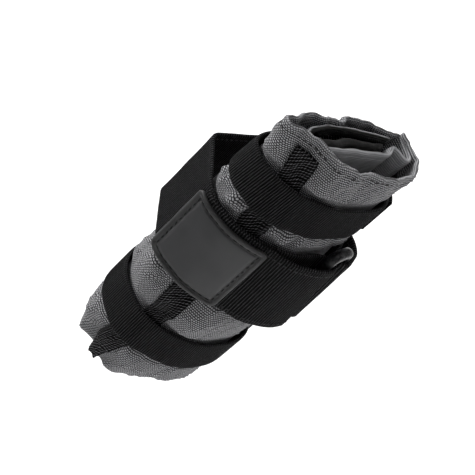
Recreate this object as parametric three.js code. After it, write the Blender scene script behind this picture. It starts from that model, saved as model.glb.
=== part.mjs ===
// Bicycle tool roll bag: a fabric panel rolled into a flattened spiral, with pockets inside, a
// webbing spine sewn along it, two cinch straps round it, and a wide band with a plastic ring and a rubber
// patch, by which it hangs tilted, with its front end low.
//
// Frame: +X towards its rear end, +Y to its right, +Z up, in millimetres. The origin lies at the middle of the
// band's flat top, on its inner face.
// Inside the tilted group, x runs along the roll from its front end, y across it and z away from its underside.
import * as THREE from 'three';

// Driving sizes of the roll
const ROLL_LENGTH = 161;
const ROLL_WIDTH = 67;
const ROLL_HEIGHT = 55;
const ROLL_TILT_DEG = 31.4;
const PANEL_THICKNESS = 2.2;
const LAYER_GAP = 0.9;
const CLEARANCE = 0.3;
const STRAP_GAP = 0.65;

// Pockets inside the roll
const POCKET_THICKNESS = 1.1;
const POCKET_DEPTH = 105;
const FLAP_THICKNESS = 1.2;
const FLAP_DEPTH = 70;
const BINDING_DIAMETER = 2.4;
const POCKET_INSET = 3.4;
const POCKET_FROM = 0.66;
const POCKET_TO = 0.98;

// Webbing spine, sewn along the outside of the roll
const SPINE_WIDTH = 12;
const SPINE_THICKNESS = 1.2;
const SPINE_REAR_MARGIN = 3.5;
const SPINE_TURN_IN = 8;

// Cinch straps
const STRAP_WIDTH = 20;
const STRAP_THICKNESS = 1.5;
const STRAP_OVERLAP = 26;
const FRONT_STRAP_AT = 32;
const REAR_STRAP_AT = 132.6;

// Wide band, its ring and its patch
const BAND_WIDTH = 42;
const BAND_THICKNESS = 1.6;
const BAND_AT = 91.3;
const BAND_ANCHOR_LENGTH = 16;
const BAND_SETTLE_LENGTH = 34;
const PATCH_LENGTH = 34.5;
const PATCH_WIDTH = 39;
const PATCH_THICKNESS = 1.8;
const PATCH_OVERHANG = 1.5;
const RING_BAR_DIAMETER = 5;
const RING_STAND_OFF = 0.8;
const RING_SLOT = 6.4;
const RING_SIDE_PLAY = 1;

// Rounded top corners of the band: their inner diameter, distance apart, height over the roll and offset
const RAIL_DIAMETER = 7;
const RAIL_SPACING = 44;
const RAIL_RISE = 35.4;
const RAIL_OFFSET = 6;

// Numbers of facets; a bend weight in mm for each radian makes them shorter where a sheet bends
const PANEL_STEPS = 112;
const STRAP_STEPS = 60;
const BAND_STEPS = 100;
const FINE_STEPS = 240;
const TURN_STEPS = 10;
const OUTLINE_STEPS = 144;
const BEND_WEIGHT = 12;

// Where the outer free edge of the panel lies, and where the ring's two bars lie, as directions seen from the
// rear: 0 is the right side, 90 the top
const FREE_EDGE_DEG = 3;
const OUTER_TURN = 0.995;
const NEAR_BAR_DEG = 300;
const STRAP_END_DEG = 352;
const PATCH_TOP_DEG = 170.5;

// The roll's outline at each section. Left and right are shares of the roll's width, top, bottom and belt,
// the height of the widest line, are shares of its height. The last four columns say how square each corner
// is, 2 being an ellipse.
const half = STRAP_WIDTH / 2;
const bandHalf = BAND_WIDTH / 2;
const frontGapEnd = BAND_AT - bandHalf;
const rearGapStart = BAND_AT + bandHalf;
const SECTIONS = [
  { at: 0, left: 0.49, right: 0.42, top: 0.42, bottom: 0.38, belt: 0.12, lowLeft: 1.8, highLeft: 2.2, highRight: 2.3, lowRight: 2.3 },
  { at: (FRONT_STRAP_AT - half) * 0.42, left: 0.5, right: 0.46, top: 0.5, bottom: 0.455, belt: 0.11, lowLeft: 1.75, highLeft: 2.3, highRight: 2.3, lowRight: 2.5 },
  { at: FRONT_STRAP_AT - half, left: 0.455, right: 0.46, top: 0.535, bottom: 0.425, belt: 0.1, lowLeft: 1.7, highLeft: 2.3, highRight: 2.3, lowRight: 2.8 },
  { at: FRONT_STRAP_AT + half, left: 0.44, right: 0.47, top: 0.545, bottom: 0.41, belt: 0.1, lowLeft: 1.7, highLeft: 2.3, highRight: 2.3, lowRight: 3 },
  { at: (FRONT_STRAP_AT + half + frontGapEnd) / 2, left: 0.495, right: 0.495, top: 0.57, bottom: 0.44, belt: 0.1, lowLeft: 1.85, highLeft: 2.3, highRight: 2.3, lowRight: 3 },
  { at: frontGapEnd, left: 0.475, right: 0.485, top: 0.55, bottom: 0.385, belt: 0.11, lowLeft: 1.45, highLeft: 2.3, highRight: 2.3, lowRight: 3.2 },
  { at: rearGapStart, left: 0.46, right: 0.485, top: 0.49, bottom: 0.325, belt: 0.13, lowLeft: 1.42, highLeft: 2.5, highRight: 2.4, lowRight: 3.6 },
  { at: REAR_STRAP_AT - half, left: 0.445, right: 0.48, top: 0.42, bottom: 0.3, belt: 0.13, lowLeft: 1.55, highLeft: 2.8, highRight: 2.5, lowRight: 3.8 },
  { at: REAR_STRAP_AT + half, left: 0.45, right: 0.485, top: 0.345, bottom: 0.29, belt: 0.145, lowLeft: 1.5, highLeft: 3.4, highRight: 2.6, lowRight: 4 },
  { at: ROLL_LENGTH, left: 0.5, right: 0.525, top: 0.29, bottom: 0.29, belt: 0.145, lowLeft: 1.5, highLeft: 4, highRight: 2.7, lowRight: 4.2 },
];

// Creases pressed into the outside: where along the roll in mm from its nearer end, in which direction, how
// deep, and how far each reaches along and round
const CREASES = [
  { from: 'front', along: 0, direction: 176, depth: 3.6, reach: 15, spread: 22 },
  { from: 'front', along: 0, direction: 262, depth: 2, reach: 10, spread: 24 },
  { from: 'rear', along: 0, direction: 238, depth: 2, reach: 9, spread: 18 },
  { from: 'rear', along: 0, direction: 96, depth: 1.6, reach: 12, spread: 24 },
];

// The panel's way inside its own outer turn, as shares of the space inside: across from the middle to either
// side, up from the underside to the top
const INNER_ROUTE = [
  { across: 1, up: 0.45 },
  { across: 0.985, up: 0.36 },
  { across: 0.945, up: 0.3 },
  { across: 0.895, up: 0.28 },
  { across: 0.85, up: 0.31 },
  { across: 0.822, up: 0.39 },
  { across: 0.8, up: 0.47 },
  { across: 0.765, up: 0.53 },
  { across: 0.715, up: 0.54 },
  { across: 0.66, up: 0.475 },
  { across: 0.57, up: 0.4 },
  { across: 0.4, up: 0.385 },
  { across: 0.1, up: 0.41 },
  { across: -0.24, up: 0.42 },
  { across: -0.51, up: 0.44 },
  { across: -0.7, up: 0.51 },
  { across: -0.79, up: 0.66 },
  { across: -0.71, up: 0.81 },
  { across: -0.5, up: 0.9 },
  { across: -0.26, up: 0.95 },
  { across: 0, up: 0.945 },
  { across: 0.26, up: 0.9 },
  { across: 0.53, up: 0.83 },
  { across: 0.79, up: 0.76 },
];
const INNER_FLAP_ROUTE = [
  { across: 0.64, up: 0.65 },
  { across: 0.4, up: 0.62 },
  { across: 0.1, up: 0.66 },
  { across: -0.24, up: 0.64 },
  { across: -0.5, up: 0.62 },
  { across: -0.66, up: 0.65 },
];

// How far the panel's edge stands out past each end of the roll, by the turns of the spiral so far: 0 to 1 is
// the outer turn, 1 to 2 is the rest
const REAR_EDGE = [
  { turns: 0, out: 0 },
  { turns: 0.12, out: 1.2 },
  { turns: 0.34, out: -0.4 },
  { turns: 0.46, out: 3 },
  { turns: 0.56, out: 2 },
  { turns: 0.7, out: 0 },
  { turns: 1, out: -0.8 },
  { turns: 1.3, out: 1 },
  { turns: 1.55, out: 0.4 },
  { turns: 1.75, out: -1.2 },
  { turns: 2, out: -1 },
];
const FRONT_EDGE = [
  { turns: 0, out: 0 },
  { turns: 0.2, out: 0.6 },
  { turns: 0.34, out: 0 },
  { turns: 0.46, out: 1.5 },
  { turns: 0.56, out: 5 },
  { turns: 0.64, out: 4 },
  { turns: 0.76, out: 0 },
  { turns: 2, out: -3 },
];

// Numbers worked out between two rows of a table
function between(rows, key, position, column) {
  const last = rows.length - 1;
  if (position <= rows[0][key]) return rows[0][column];
  if (position >= rows[last][key]) return rows[last][column];
  const next = rows.findIndex((row) => row[key] > position);
  const low = rows[next - 1];
  const high = rows[next];
  const share = (position - low[key]) / (high[key] - low[key]);
  return low[column] + share * (high[column] - low[column]);
}

const radians = (degrees) => (degrees * Math.PI) / 180;
const smooth = (x) => {
  const t = Math.min(1, Math.max(0, x));
  return t * t * (3 - 2 * t);
};

// Sections of the roll: a section is the outline's sizes at one distance from the front end
function sectionAt(along) {
  const value = (column) => between(SECTIONS, 'at', along, column);
  return {
    along,
    left: value('left') * ROLL_WIDTH,
    right: value('right') * ROLL_WIDTH,
    top: value('top') * ROLL_HEIGHT,
    bottom: -value('bottom') * ROLL_HEIGHT,
    belt: value('belt') * ROLL_HEIGHT,
    corners: [value('highRight'), value('highLeft'), value('lowLeft'), value('lowRight')],
  };
}

function creaseDepth(along, direction) {
  let depth = 0;
  for (const crease of CREASES) {
    const place = crease.from === 'front' ? crease.along : ROLL_LENGTH - crease.along;
    const apart = Math.abs(along - place) / crease.reach;
    const turned = Math.abs(((direction - crease.direction + 540) % 360) - 180) / crease.spread;
    if (apart < 1 && turned < 1) depth += crease.depth * smooth(1 - apart) * smooth(1 - turned);
  }
  return depth;
}

// Distance from the middle of the section to its outline in one direction
function outlinePoint(section, direction) {
  const angle = radians(direction);
  const quadrant = Math.floor((((direction % 360) + 360) % 360) / 90) % 4;
  const across = quadrant === 0 || quadrant === 3 ? section.right : section.left;
  const up = quadrant < 2 ? section.top - section.belt : section.belt - section.bottom;
  const power = section.corners[quadrant];
  const sum = Math.abs(Math.cos(angle) / across) ** power + Math.abs(Math.sin(angle) / up) ** power;
  const reach = sum ** (-1 / power) - creaseDepth(section.along, direction);
  return new THREE.Vector2(reach * Math.cos(angle), section.belt + reach * Math.sin(angle));
}

// A closed loop of points, cut to even steps, with the outward normal of each
function evenLoop(points, steps, startPoint) {
  const ring = [...points, points[0]];
  const lengths = [0];
  for (let i = 1; i < ring.length; i += 1) lengths.push(lengths[i - 1] + ring[i].distanceTo(ring[i - 1]));
  const total = lengths[lengths.length - 1];
  let nearest = 0;
  points.forEach((point, i) => {
    if (point.distanceTo(startPoint) < points[nearest].distanceTo(startPoint)) nearest = i;
  });
  const at = (distance) => {
    const wanted = (((lengths[nearest] + distance) % total) + total) % total;
    let i = lengths.findIndex((length) => length > wanted);
    if (i < 1) i = lengths.length - 1;
    const share = (wanted - lengths[i - 1]) / Math.max(1e-9, lengths[i] - lengths[i - 1]);
    return ring[i - 1].clone().lerp(ring[i], share);
  };
  const even = Array.from({ length: steps }, (_, i) => at((total * i) / steps));
  return { points: even, normals: even.map((_, i) => loopNormal(even, i)), total };
}

// Loops run counter-clockwise as seen from the rear, so the outward normal is the tangent turned clockwise
function loopNormal(points, i) {
  const count = points.length;
  const tangent = points[(i + 1) % count].clone().sub(points[(i + count - 1) % count]).normalize();
  return new THREE.Vector2(tangent.y, -tangent.x);
}

// Point and normal of a loop at a share of its length, counter-clockwise from its start
function loopAt(loop, share) {
  const place = (((share % 1) + 1) % 1) * loop.points.length;
  const low = Math.floor(place) % loop.points.length;
  const high = (low + 1) % loop.points.length;
  const rest = place - Math.floor(place);
  return {
    point: loop.points[low].clone().lerp(loop.points[high], rest),
    normal: loop.normals[low].clone().lerp(loop.normals[high], rest).normalize(),
  };
}

const sectionMiddle = (section) => new THREE.Vector2(0, section.belt);

// Share of a loop's length at which it passes a direction seen from the section's middle
function shareOfDirection(loop, section, direction) {
  const middle = sectionMiddle(section);
  const aim = new THREE.Vector2(Math.cos(radians(direction)), Math.sin(radians(direction)));
  let best = 0;
  let closest = -Infinity;
  const samples = loop.points.length * 4;
  for (let i = 0; i < samples; i += 1) {
    const along = loopAt(loop, i / samples).point.sub(middle).normalize().dot(aim);
    if (along > closest) {
      closest = along;
      best = i / samples;
    }
  }
  return best;
}

function outlineLoop(section) {
  const dense = Array.from({ length: 720 }, (_, i) => outlinePoint(section, FREE_EDGE_DEG + i / 2));
  return evenLoop(dense, OUTLINE_STEPS, outlinePoint(section, FREE_EDGE_DEG));
}

// The roll is straight from each station to the next
const STATIONS = [
  ...SECTIONS.map((row) => row.at),
  SECTIONS[1].at / 2,
  BAND_AT,
  (SECTIONS[8].at + ROLL_LENGTH) / 2,
].sort((a, b) => a - b);

function betweenStations(along) {
  const next = STATIONS.findIndex((place) => place > along);
  const high = next < 1 ? (next === 0 ? 1 : STATIONS.length - 1) : next;
  const share = (along - STATIONS[high - 1]) / (STATIONS[high] - STATIONS[high - 1]);
  return { high, share: Math.min(1, Math.max(0, share)) };
}

const outlines = STATIONS.map((along) => outlineLoop(sectionAt(along)));

function outlineAt(along) {
  const { high, share } = betweenStations(along);
  const points = outlines[high - 1].points.map((point, i) => point.clone().lerp(outlines[high].points[i], share));
  const total = outlines[high - 1].total * (1 - share) + outlines[high].total * share;
  return { points, normals: points.map((_, i) => loopNormal(points, i)), total };
}

function convexHull(points) {
  const sorted = [...points].sort((a, b) => a.x - b.x || a.y - b.y);
  const cross = (o, a, b) => (a.x - o.x) * (b.y - o.y) - (a.y - o.y) * (b.x - o.x);
  const chain = (list) => {
    const hull = [];
    for (const point of list) {
      while (hull.length > 1 && cross(hull[hull.length - 2], hull[hull.length - 1], point) <= 0) hull.pop();
      hull.push(point);
    }
    hull.pop();
    return hull;
  };
  return [...chain(sorted), ...chain(sorted.reverse())];
}

// The spine webbing's direction seen from the middle of the section
const SPINE_LINE = [
  { at: 0, direction: 193 },
  { at: FRONT_STRAP_AT, direction: 207 },
  { at: FRONT_STRAP_AT + STRAP_WIDTH, direction: 212 },
  { at: BAND_AT, direction: 214 },
  { at: REAR_STRAP_AT, direction: 211 },
  { at: ROLL_LENGTH, direction: 203 },
];

// The line that a taut strap takes round the roll and its spine at one section, a clearance away from both
function tautLoop(section, steps, startDirection, extras = []) {
  const outline = outlineAt(section.along);
  const points = outline.points.map((point, i) => point.clone().addScaledVector(outline.normals[i], STRAP_GAP));
  const spineShare = shareOfDirection(outline, section, between(SPINE_LINE, 'at', section.along, 'direction'));
  const reach = SPINE_WIDTH / 2 / outline.total;
  for (const side of [-1, -0.5, 0, 0.5, 1]) {
    const { point, normal } = loopAt(outline, spineShare + side * reach);
    points.push(point.addScaledVector(normal, STRAP_GAP + CLEARANCE + SPINE_THICKNESS));
  }
  const hull = convexHull([...points, ...extras]);
  const dense = evenLoop(hull, OUTLINE_STEPS * 3, hull[0]);
  const start = loopAt(dense, shareOfDirection(dense, section, startDirection)).point;
  return evenLoop(dense.points, steps, start);
}

// Points on a line through a table of route rows, in even steps
function splinePoints(points, steps) {
  const curve = new THREE.CatmullRomCurve3(
    points.map((point) => new THREE.Vector3(point.x, point.y, 0)),
    false,
    'centripetal',
  );
  curve.arcLengthDivisions = 600;
  return curve.getSpacedPoints(steps).map((point) => new THREE.Vector2(point.x, point.y));
}

function lineNormals(points) {
  return points.map((_, i) => {
    const before = points[Math.max(0, i - 1)];
    const after = points[Math.min(points.length - 1, i + 1)];
    const tangent = after.clone().sub(before).normalize();
    return new THREE.Vector2(-tangent.y, tangent.x);
  });
}

function bendAt(points, i) {
  if (i < 1 || i > points.length - 2) return 0;
  const before = points[i].clone().sub(points[i - 1]);
  const after = points[i + 1].clone().sub(points[i]);
  return Math.abs(Math.atan2(before.cross(after), before.dot(after)));
}

// Where to cut the middle lines of a sheet's stations, in steps that are shorter where the lines bend
function cutsOf(lines, steps) {
  const measure = [0];
  for (let i = 1; i < lines[0].length; i += 1) {
    const parts = lines.map((line) => {
      const turned = (bendAt(line, i - 1) + bendAt(line, i)) / 2;
      return line[i].distanceTo(line[i - 1]) + BEND_WEIGHT * turned;
    });
    measure.push(measure[i - 1] + parts.reduce((sum, part) => sum + part, 0));
  }
  return Array.from({ length: steps + 1 }, (_, i) => {
    const wanted = (measure[measure.length - 1] * i) / steps;
    const next = Math.max(1, measure.findIndex((value) => value >= wanted - 1e-6));
    return next - 1 + (wanted - measure[next - 1]) / (measure[next] - measure[next - 1]);
  });
}

function pointAt(points, place) {
  const low = Math.min(points.length - 2, Math.floor(place));
  return points[low].clone().lerp(points[low + 1], place - low);
}

// Two faces of a sheet at each station, a half thickness either side of its middle line
function facesOf(lines, thickness, steps) {
  const cuts = cutsOf(lines, steps);
  return lines.map((line) => {
    const normals = lineNormals(line);
    const face = (sign) =>
      cuts.map((place) => {
        const normal = pointAt(normals, place).normalize();
        return pointAt(line, place).addScaledVector(normal, (sign * thickness) / 2);
      });
    return { outer: face(1), inner: face(-1), ways: cuts.map((place) => place / (line.length - 1)) };
  });
}

// A sheet whose stations stand square to the roll, each at its own distance along
function squareSheet(places, lines, thickness, steps) {
  const faces = facesOf(lines, thickness, steps);
  return sheetSolid(
    faces.map(({ outer, inner }, row) => ({
      outer: lifted(outer, places[row]),
      inner: lifted(inner, places[row]),
    })),
  );
}

// A closed solid from the two faces of a sheet at each of its stations
function sheetSolid(stations) {
  const across = stations[0].outer.length;
  const count = stations.length;
  const positions = [];
  for (const station of stations) {
    for (const face of [station.outer, station.inner]) {
      for (const point of face) positions.push(point.x, point.y, point.z);
    }
  }
  const outer = (row, i) => row * 2 * across + i;
  const inner = (row, i) => row * 2 * across + across + i;
  const faces = [];
  const quad = (a, b, c, d) => faces.push(a, b, c, a, c, d);
  for (let row = 0; row < count - 1; row += 1) {
    for (let i = 0; i < across - 1; i += 1) {
      quad(outer(row, i), outer(row + 1, i), outer(row + 1, i + 1), outer(row, i + 1));
      quad(inner(row, i), inner(row, i + 1), inner(row + 1, i + 1), inner(row + 1, i));
    }
    quad(outer(row, 0), inner(row, 0), inner(row + 1, 0), outer(row + 1, 0));
    quad(outer(row, across - 1), outer(row + 1, across - 1), inner(row + 1, across - 1), inner(row, across - 1));
  }
  for (let i = 0; i < across - 1; i += 1) {
    quad(outer(0, i), outer(0, i + 1), inner(0, i + 1), inner(0, i));
    quad(outer(count - 1, i), inner(count - 1, i), inner(count - 1, i + 1), outer(count - 1, i + 1));
  }
  return solidFrom(positions, faces);
}

// A geometry whose faces point out, whichever way round they were listed
function solidFrom(positions, faces) {
  let volume = 0;
  const corner = (index) => new THREE.Vector3().fromArray(positions, 3 * index);
  for (let i = 0; i < faces.length; i += 3) {
    volume += corner(faces[i]).dot(corner(faces[i + 1]).cross(corner(faces[i + 2])));
  }
  const outward = volume > 0 ? faces : faces.map((_, i) => faces[i - (i % 3) + 2 - (i % 3)]);
  const geometry = new THREE.BufferGeometry();
  geometry.setAttribute('position', new THREE.Float32BufferAttribute(positions, 3));
  geometry.setIndex(outward);
  return geometry;
}

const lifted = (points, along) => points.map((point) => new THREE.Vector3(along, point.x, point.y));

// Outer turn of the panel, clockwise from its free edge as seen from the rear, stepping in under that edge
function panelOuterTurn(loop) {
  return Array.from({ length: FINE_STEPS + 1 }, (_, i) => {
    const way = i / FINE_STEPS;
    const { point, normal } = loopAt(loop, -way * OUTER_TURN);
    const tuckIn = (PANEL_THICKNESS + LAYER_GAP) * smooth((way - 0.8) / 0.2);
    return point.addScaledVector(normal, -PANEL_THICKNESS / 2 - tuckIn);
  });
}

// A place inside the outer turn, from its shares of the space there
function insidePoint(section, row) {
  const wall = 1.5 * PANEL_THICKNESS + LAYER_GAP;
  const across = row.across * ((row.across > 0 ? section.right : section.left) - wall);
  const low = section.bottom + wall;
  const high = section.top - wall;
  const middle = sectionMiddle(section);
  const inward = new THREE.Vector2(across, low + row.up * (high - low)).sub(middle);
  const edge = outlinePoint(section, THREE.MathUtils.radToDeg(inward.angle()));
  const limit = edge.distanceTo(middle) - wall;
  return middle.add(inward.clampLength(0, limit));
}

const panelLines = STATIONS.map((along, i) => {
  const outer = panelOuterTurn(outlines[i]);
  const route = INNER_ROUTE.map((row) => insidePoint(sectionAt(along), row));
  return [...outer, ...splinePoints([outer[FINE_STEPS], ...route], FINE_STEPS).slice(1)];
});

// How far the panel's rim stands out at one of its stations, by its turns so far
function rimShift(station, turns) {
  if (station === 0) return -between(FRONT_EDGE, 'turns', turns, 'out');
  if (station === STATIONS.length - 1) return between(REAR_EDGE, 'turns', turns, 'out');
  return 0;
}

// Main panel, from the free edge outside to its last stretch inside
function rollPanel() {
  const faces = facesOf(panelLines, PANEL_THICKNESS, PANEL_STEPS);
  return sheetSolid(
    faces.map(({ outer, inner, ways }, row) => {
      const placed = (face) =>
        face.map((point, i) => new THREE.Vector3(STATIONS[row] + rimShift(row, 2 * ways[i]), point.x, point.y));
      return { outer: placed(outer), inner: placed(inner) };
    }),
  );
}

// The last stretch of the panel, on whose underside the pocket is sewn
function lastStretch(along, drop) {
  const { high, share } = betweenStations(along);
  const line = panelLines[high - 1].map((point, i) => point.clone().lerp(panelLines[high][i], share));
  const normals = lineNormals(line);
  const first = Math.round(FINE_STEPS * (1 + POCKET_FROM));
  const last = Math.round(FINE_STEPS * (1 + POCKET_TO));
  return line.slice(first, last).map((point, i) => point.clone().addScaledVector(normals[first + i], -drop));
}

const rearPlaces = (depth, steps) =>
  Array.from({ length: steps + 1 }, (_, i) => ROLL_LENGTH - POCKET_INSET - depth + (depth * i) / steps);
const POCKET_DROP = PANEL_THICKNESS / 2 + CLEARANCE + POCKET_THICKNESS / 2;

function pocketPanel() {
  const places = rearPlaces(POCKET_DEPTH, 6);
  return squareSheet(places, places.map((along) => lastStretch(along, POCKET_DROP)), POCKET_THICKNESS, 20);
}

function innerFlap() {
  const places = rearPlaces(FLAP_DEPTH, 4);
  const lines = places.map((along) => {
    const section = sectionAt(along);
    return splinePoints(INNER_FLAP_ROUTE.map((row) => insidePoint(section, row)), 80);
  });
  return squareSheet(places, lines, FLAP_THICKNESS, 16);
}

// Corded binding along the pocket's mouth
function pocketBinding() {
  const along = ROLL_LENGTH - POCKET_INSET + BINDING_DIAMETER / 2 + CLEARANCE;
  const drop = PANEL_THICKNESS / 2 + CLEARANCE + BINDING_DIAMETER / 2;
  const line = lastStretch(along, drop).filter((_, i) => i % 6 === 0);
  const curve = new THREE.CatmullRomCurve3(lifted(line, along), false, 'centripetal');
  const shape = new THREE.Shape();
  shape.absarc(0, 0, BINDING_DIAMETER / 2, 0, 2 * Math.PI);
  return new THREE.ExtrudeGeometry(shape, { extrudePath: curve, steps: 26, curveSegments: 4 });
}

// Webbing spine: along the outside, over the panel's front edge and in along its inner face
function spineWebbing() {
  const rearEnd = ROLL_LENGTH - SPINE_REAR_MARGIN;
  const outside = CLEARANCE + SPINE_THICKNESS / 2;
  const inside = -PANEL_THICKNESS - outside;
  const places = STATIONS.filter((along) => along > SPINE_TURN_IN && along < rearEnd);
  const path = [rearEnd, ...places.reverse(), SPINE_TURN_IN, STATIONS[1], 0].map((along) => ({
    along,
    ahead: 0,
    offset: outside,
  }));
  for (let i = 1; i < TURN_STEPS; i += 1) {
    const angle = (Math.PI * i) / TURN_STEPS;
    path.push({
      along: 0,
      ahead: Math.sin(angle) * (CLEARANCE + SPINE_THICKNESS * 0.8),
      offset: (outside + inside) / 2 + (Math.cos(angle) * (outside - inside)) / 2,
    });
  }
  [0, STATIONS[1], SPINE_TURN_IN].forEach((along) => path.push({ along, ahead: 0, offset: inside }));
  const normals = lineNormals(path.map((step) => new THREE.Vector2(step.along - step.ahead, step.offset)));
  const face = (step, index, sign) => {
    const lift = (sign * SPINE_THICKNESS) / 2;
    const loop = outlineAt(step.along);
    const line = between(SPINE_LINE, 'at', step.along, 'direction');
    const middle = shareOfDirection(loop, sectionAt(step.along), line);
    return [-1, -0.5, 0, 0.5, 1].map((side) => {
      const share = middle + (side * SPINE_WIDTH) / 2 / loop.total;
      const { point, normal } = loopAt(loop, share);
      point.addScaledVector(normal, step.offset + lift * normals[index].y);
      const rim = rimShift(0, (1 - share) / OUTER_TURN) * Math.max(0, 1 - step.along / STATIONS[1]);
      return new THREE.Vector3(step.along + rim - step.ahead + lift * normals[index].x, point.x, point.y);
    });
  };
  return sheetSolid(path.map((step, i) => ({ outer: face(step, i, 1), inner: face(step, i, -1) })));
}

// A cinch strap, once round with its end lapped over its start
function cinchStrap(middle) {
  const places = [middle - half, middle + half];
  const lines = places.map((along) => {
    const loop = tautLoop(sectionAt(along), FINE_STEPS * 2, STRAP_END_DEG);
    const turns = 1 + STRAP_OVERLAP / loop.total;
    const rise = STRAP_THICKNESS + CLEARANCE;
    return Array.from({ length: FINE_STEPS + 1 }, (_, i) => {
      const way = (turns * i) / FINE_STEPS;
      const { point, normal } = loopAt(loop, -way);
      return point.addScaledVector(normal, STRAP_THICKNESS / 2 + rise * smooth((way - 0.93) / 0.07));
    });
  });
  return squareSheet(places, lines, STRAP_THICKNESS, STRAP_STEPS);
}

// Wide band: everything about its way round the roll, its top corners and the ring at one section
function railCircles() {
  const points = [];
  const radius = RAIL_DIAMETER / 2 + CLEARANCE;
  for (const side of [-1, 1]) {
    for (let i = 0; i < 24; i += 1) {
      const angle = (2 * Math.PI * i) / 24;
      const x = RAIL_OFFSET + (side * RAIL_SPACING) / 2 + radius * Math.cos(angle);
      points.push(new THREE.Vector2(x, RAIL_RISE + radius * Math.sin(angle)));
    }
  }
  return points;
}

const BAR_TURN_RADIUS = RING_BAR_DIAMETER / 2 + STRAP_GAP + BAND_THICKNESS / 2;
const BAR_PITCH = RING_SLOT + RING_BAR_DIAMETER;

function bandFrame(along) {
  const section = sectionAt(along);
  const loop = tautLoop(section, 480, NEAR_BAR_DEG, railCircles());
  const offsetPoint = (share, offset) => {
    const { point, normal } = loopAt(loop, share);
    return point.addScaledVector(normal, offset);
  };
  const barOffset = BAND_THICKNESS / 2 + RING_STAND_OFF + BAR_TURN_RADIUS;
  const nearBar = offsetPoint(0, barOffset);
  const farShare = BAR_PITCH / loop.total;
  const farBar = offsetPoint(farShare, barOffset);
  const spread = farBar.clone().sub(nearBar).setLength(BAR_PITCH);
  return { section, loop, offsetPoint, nearBar, farBar: nearBar.clone().add(spread), farShare };
}

// Points of a half turn round a ring's bar, from the roll's side by way of the slot to the outside
function barTurn(centre, normal, slotward) {
  return Array.from({ length: TURN_STEPS + 1 }, (_, i) => {
    const angle = (Math.PI * i) / TURN_STEPS;
    return centre
      .clone()
      .addScaledVector(normal, -BAR_TURN_RADIUS * Math.cos(angle))
      .addScaledVector(slotward, BAR_TURN_RADIUS * Math.sin(angle));
  });
}

// Offset of the band's outer layer from the taut line, falling from the ring's bar to the layer below it
const OUTER_LAYER = 1.5 * BAND_THICKNESS + CLEARANCE;
const BAR_OUTSIDE = BAND_THICKNESS / 2 + RING_STAND_OFF + 2 * BAR_TURN_RADIUS;
const settled = (distance) => OUTER_LAYER + (BAR_OUTSIDE - OUTER_LAYER) * (1 - smooth(distance / BAND_SETTLE_LENGTH));

function patchShares(frame) {
  const top = shareOfDirection(frame.loop, frame.section, PATCH_TOP_DEG) - 1;
  return { top, bottom: top + (PATCH_LENGTH + PATCH_OVERHANG * 2) / frame.loop.total };
}

function bandLine(along) {
  const frame = bandFrame(along);
  const { loop, offsetPoint, nearBar, farBar, farShare } = frame;
  const slotward = farBar.clone().sub(nearBar).normalize();
  const outward = new THREE.Vector2(slotward.y, -slotward.x);
  const anchor = BAND_ANCHOR_LENGTH / loop.total;
  const clearOfTurn = (BAR_TURN_RADIUS * 0.9) / loop.total;
  const line = [];
  for (let i = 0; i < 20; i += 1) {
    line.push(offsetPoint(farShare + clearOfTurn + anchor * (1 - i / 20), BAND_THICKNESS / 2));
  }
  line.push(...barTurn(farBar, outward, slotward.clone().negate()));
  const start = farShare + clearOfTurn;
  for (let i = 0; i <= FINE_STEPS; i += 1) {
    const share = start + ((1 - clearOfTurn - start) * i) / FINE_STEPS;
    const distance = (share - farShare) * loop.total;
    const overAnchor = 1 - smooth((distance - BAND_ANCHOR_LENGTH - 3) / 10);
    const fromBar = (BAR_OUTSIDE - OUTER_LAYER) * (1 - smooth(distance / BAND_ANCHOR_LENGTH));
    const offset = BAND_THICKNESS / 2 + (OUTER_LAYER - BAND_THICKNESS / 2) * overAnchor + fromBar;
    line.push(offsetPoint(share, offset));
  }
  line.push(...barTurn(nearBar, outward, slotward));
  const { top } = patchShares(frame);
  const end = top + PATCH_OVERHANG / loop.total;
  for (let i = 1; i <= FINE_STEPS / 3; i += 1) {
    const share = -clearOfTurn + ((end + clearOfTurn) * i) / (FINE_STEPS / 3);
    line.push(offsetPoint(share, settled(-share * loop.total)));
  }
  return line;
}

const bandPlaces = [BAND_AT - bandHalf, BAND_AT, BAND_AT + bandHalf];

function saddleBand() {
  return squareSheet(bandPlaces, bandPlaces.map(bandLine), BAND_THICKNESS, BAND_STEPS);
}

// Rubber patch on the end of the band's outer layer
function rubberPatch() {
  return sheetSolid(
    [BAND_AT - PATCH_WIDTH / 2, BAND_AT, BAND_AT + PATCH_WIDTH / 2].map((along) => {
      const frame = bandFrame(along);
      const shares = patchShares(frame);
      const face = (lift) =>
        Array.from({ length: 13 }, (_, i) => {
          const share = shares.top + (PATCH_LENGTH * i) / 12 / frame.loop.total;
          const base = settled(-share * frame.loop.total) + BAND_THICKNESS / 2 + CLEARANCE;
          return frame.offsetPoint(share, base + lift);
        });
      return { outer: lifted(face(PATCH_THICKNESS), along), inner: lifted(face(0), along) };
    }),
  );
}

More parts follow.
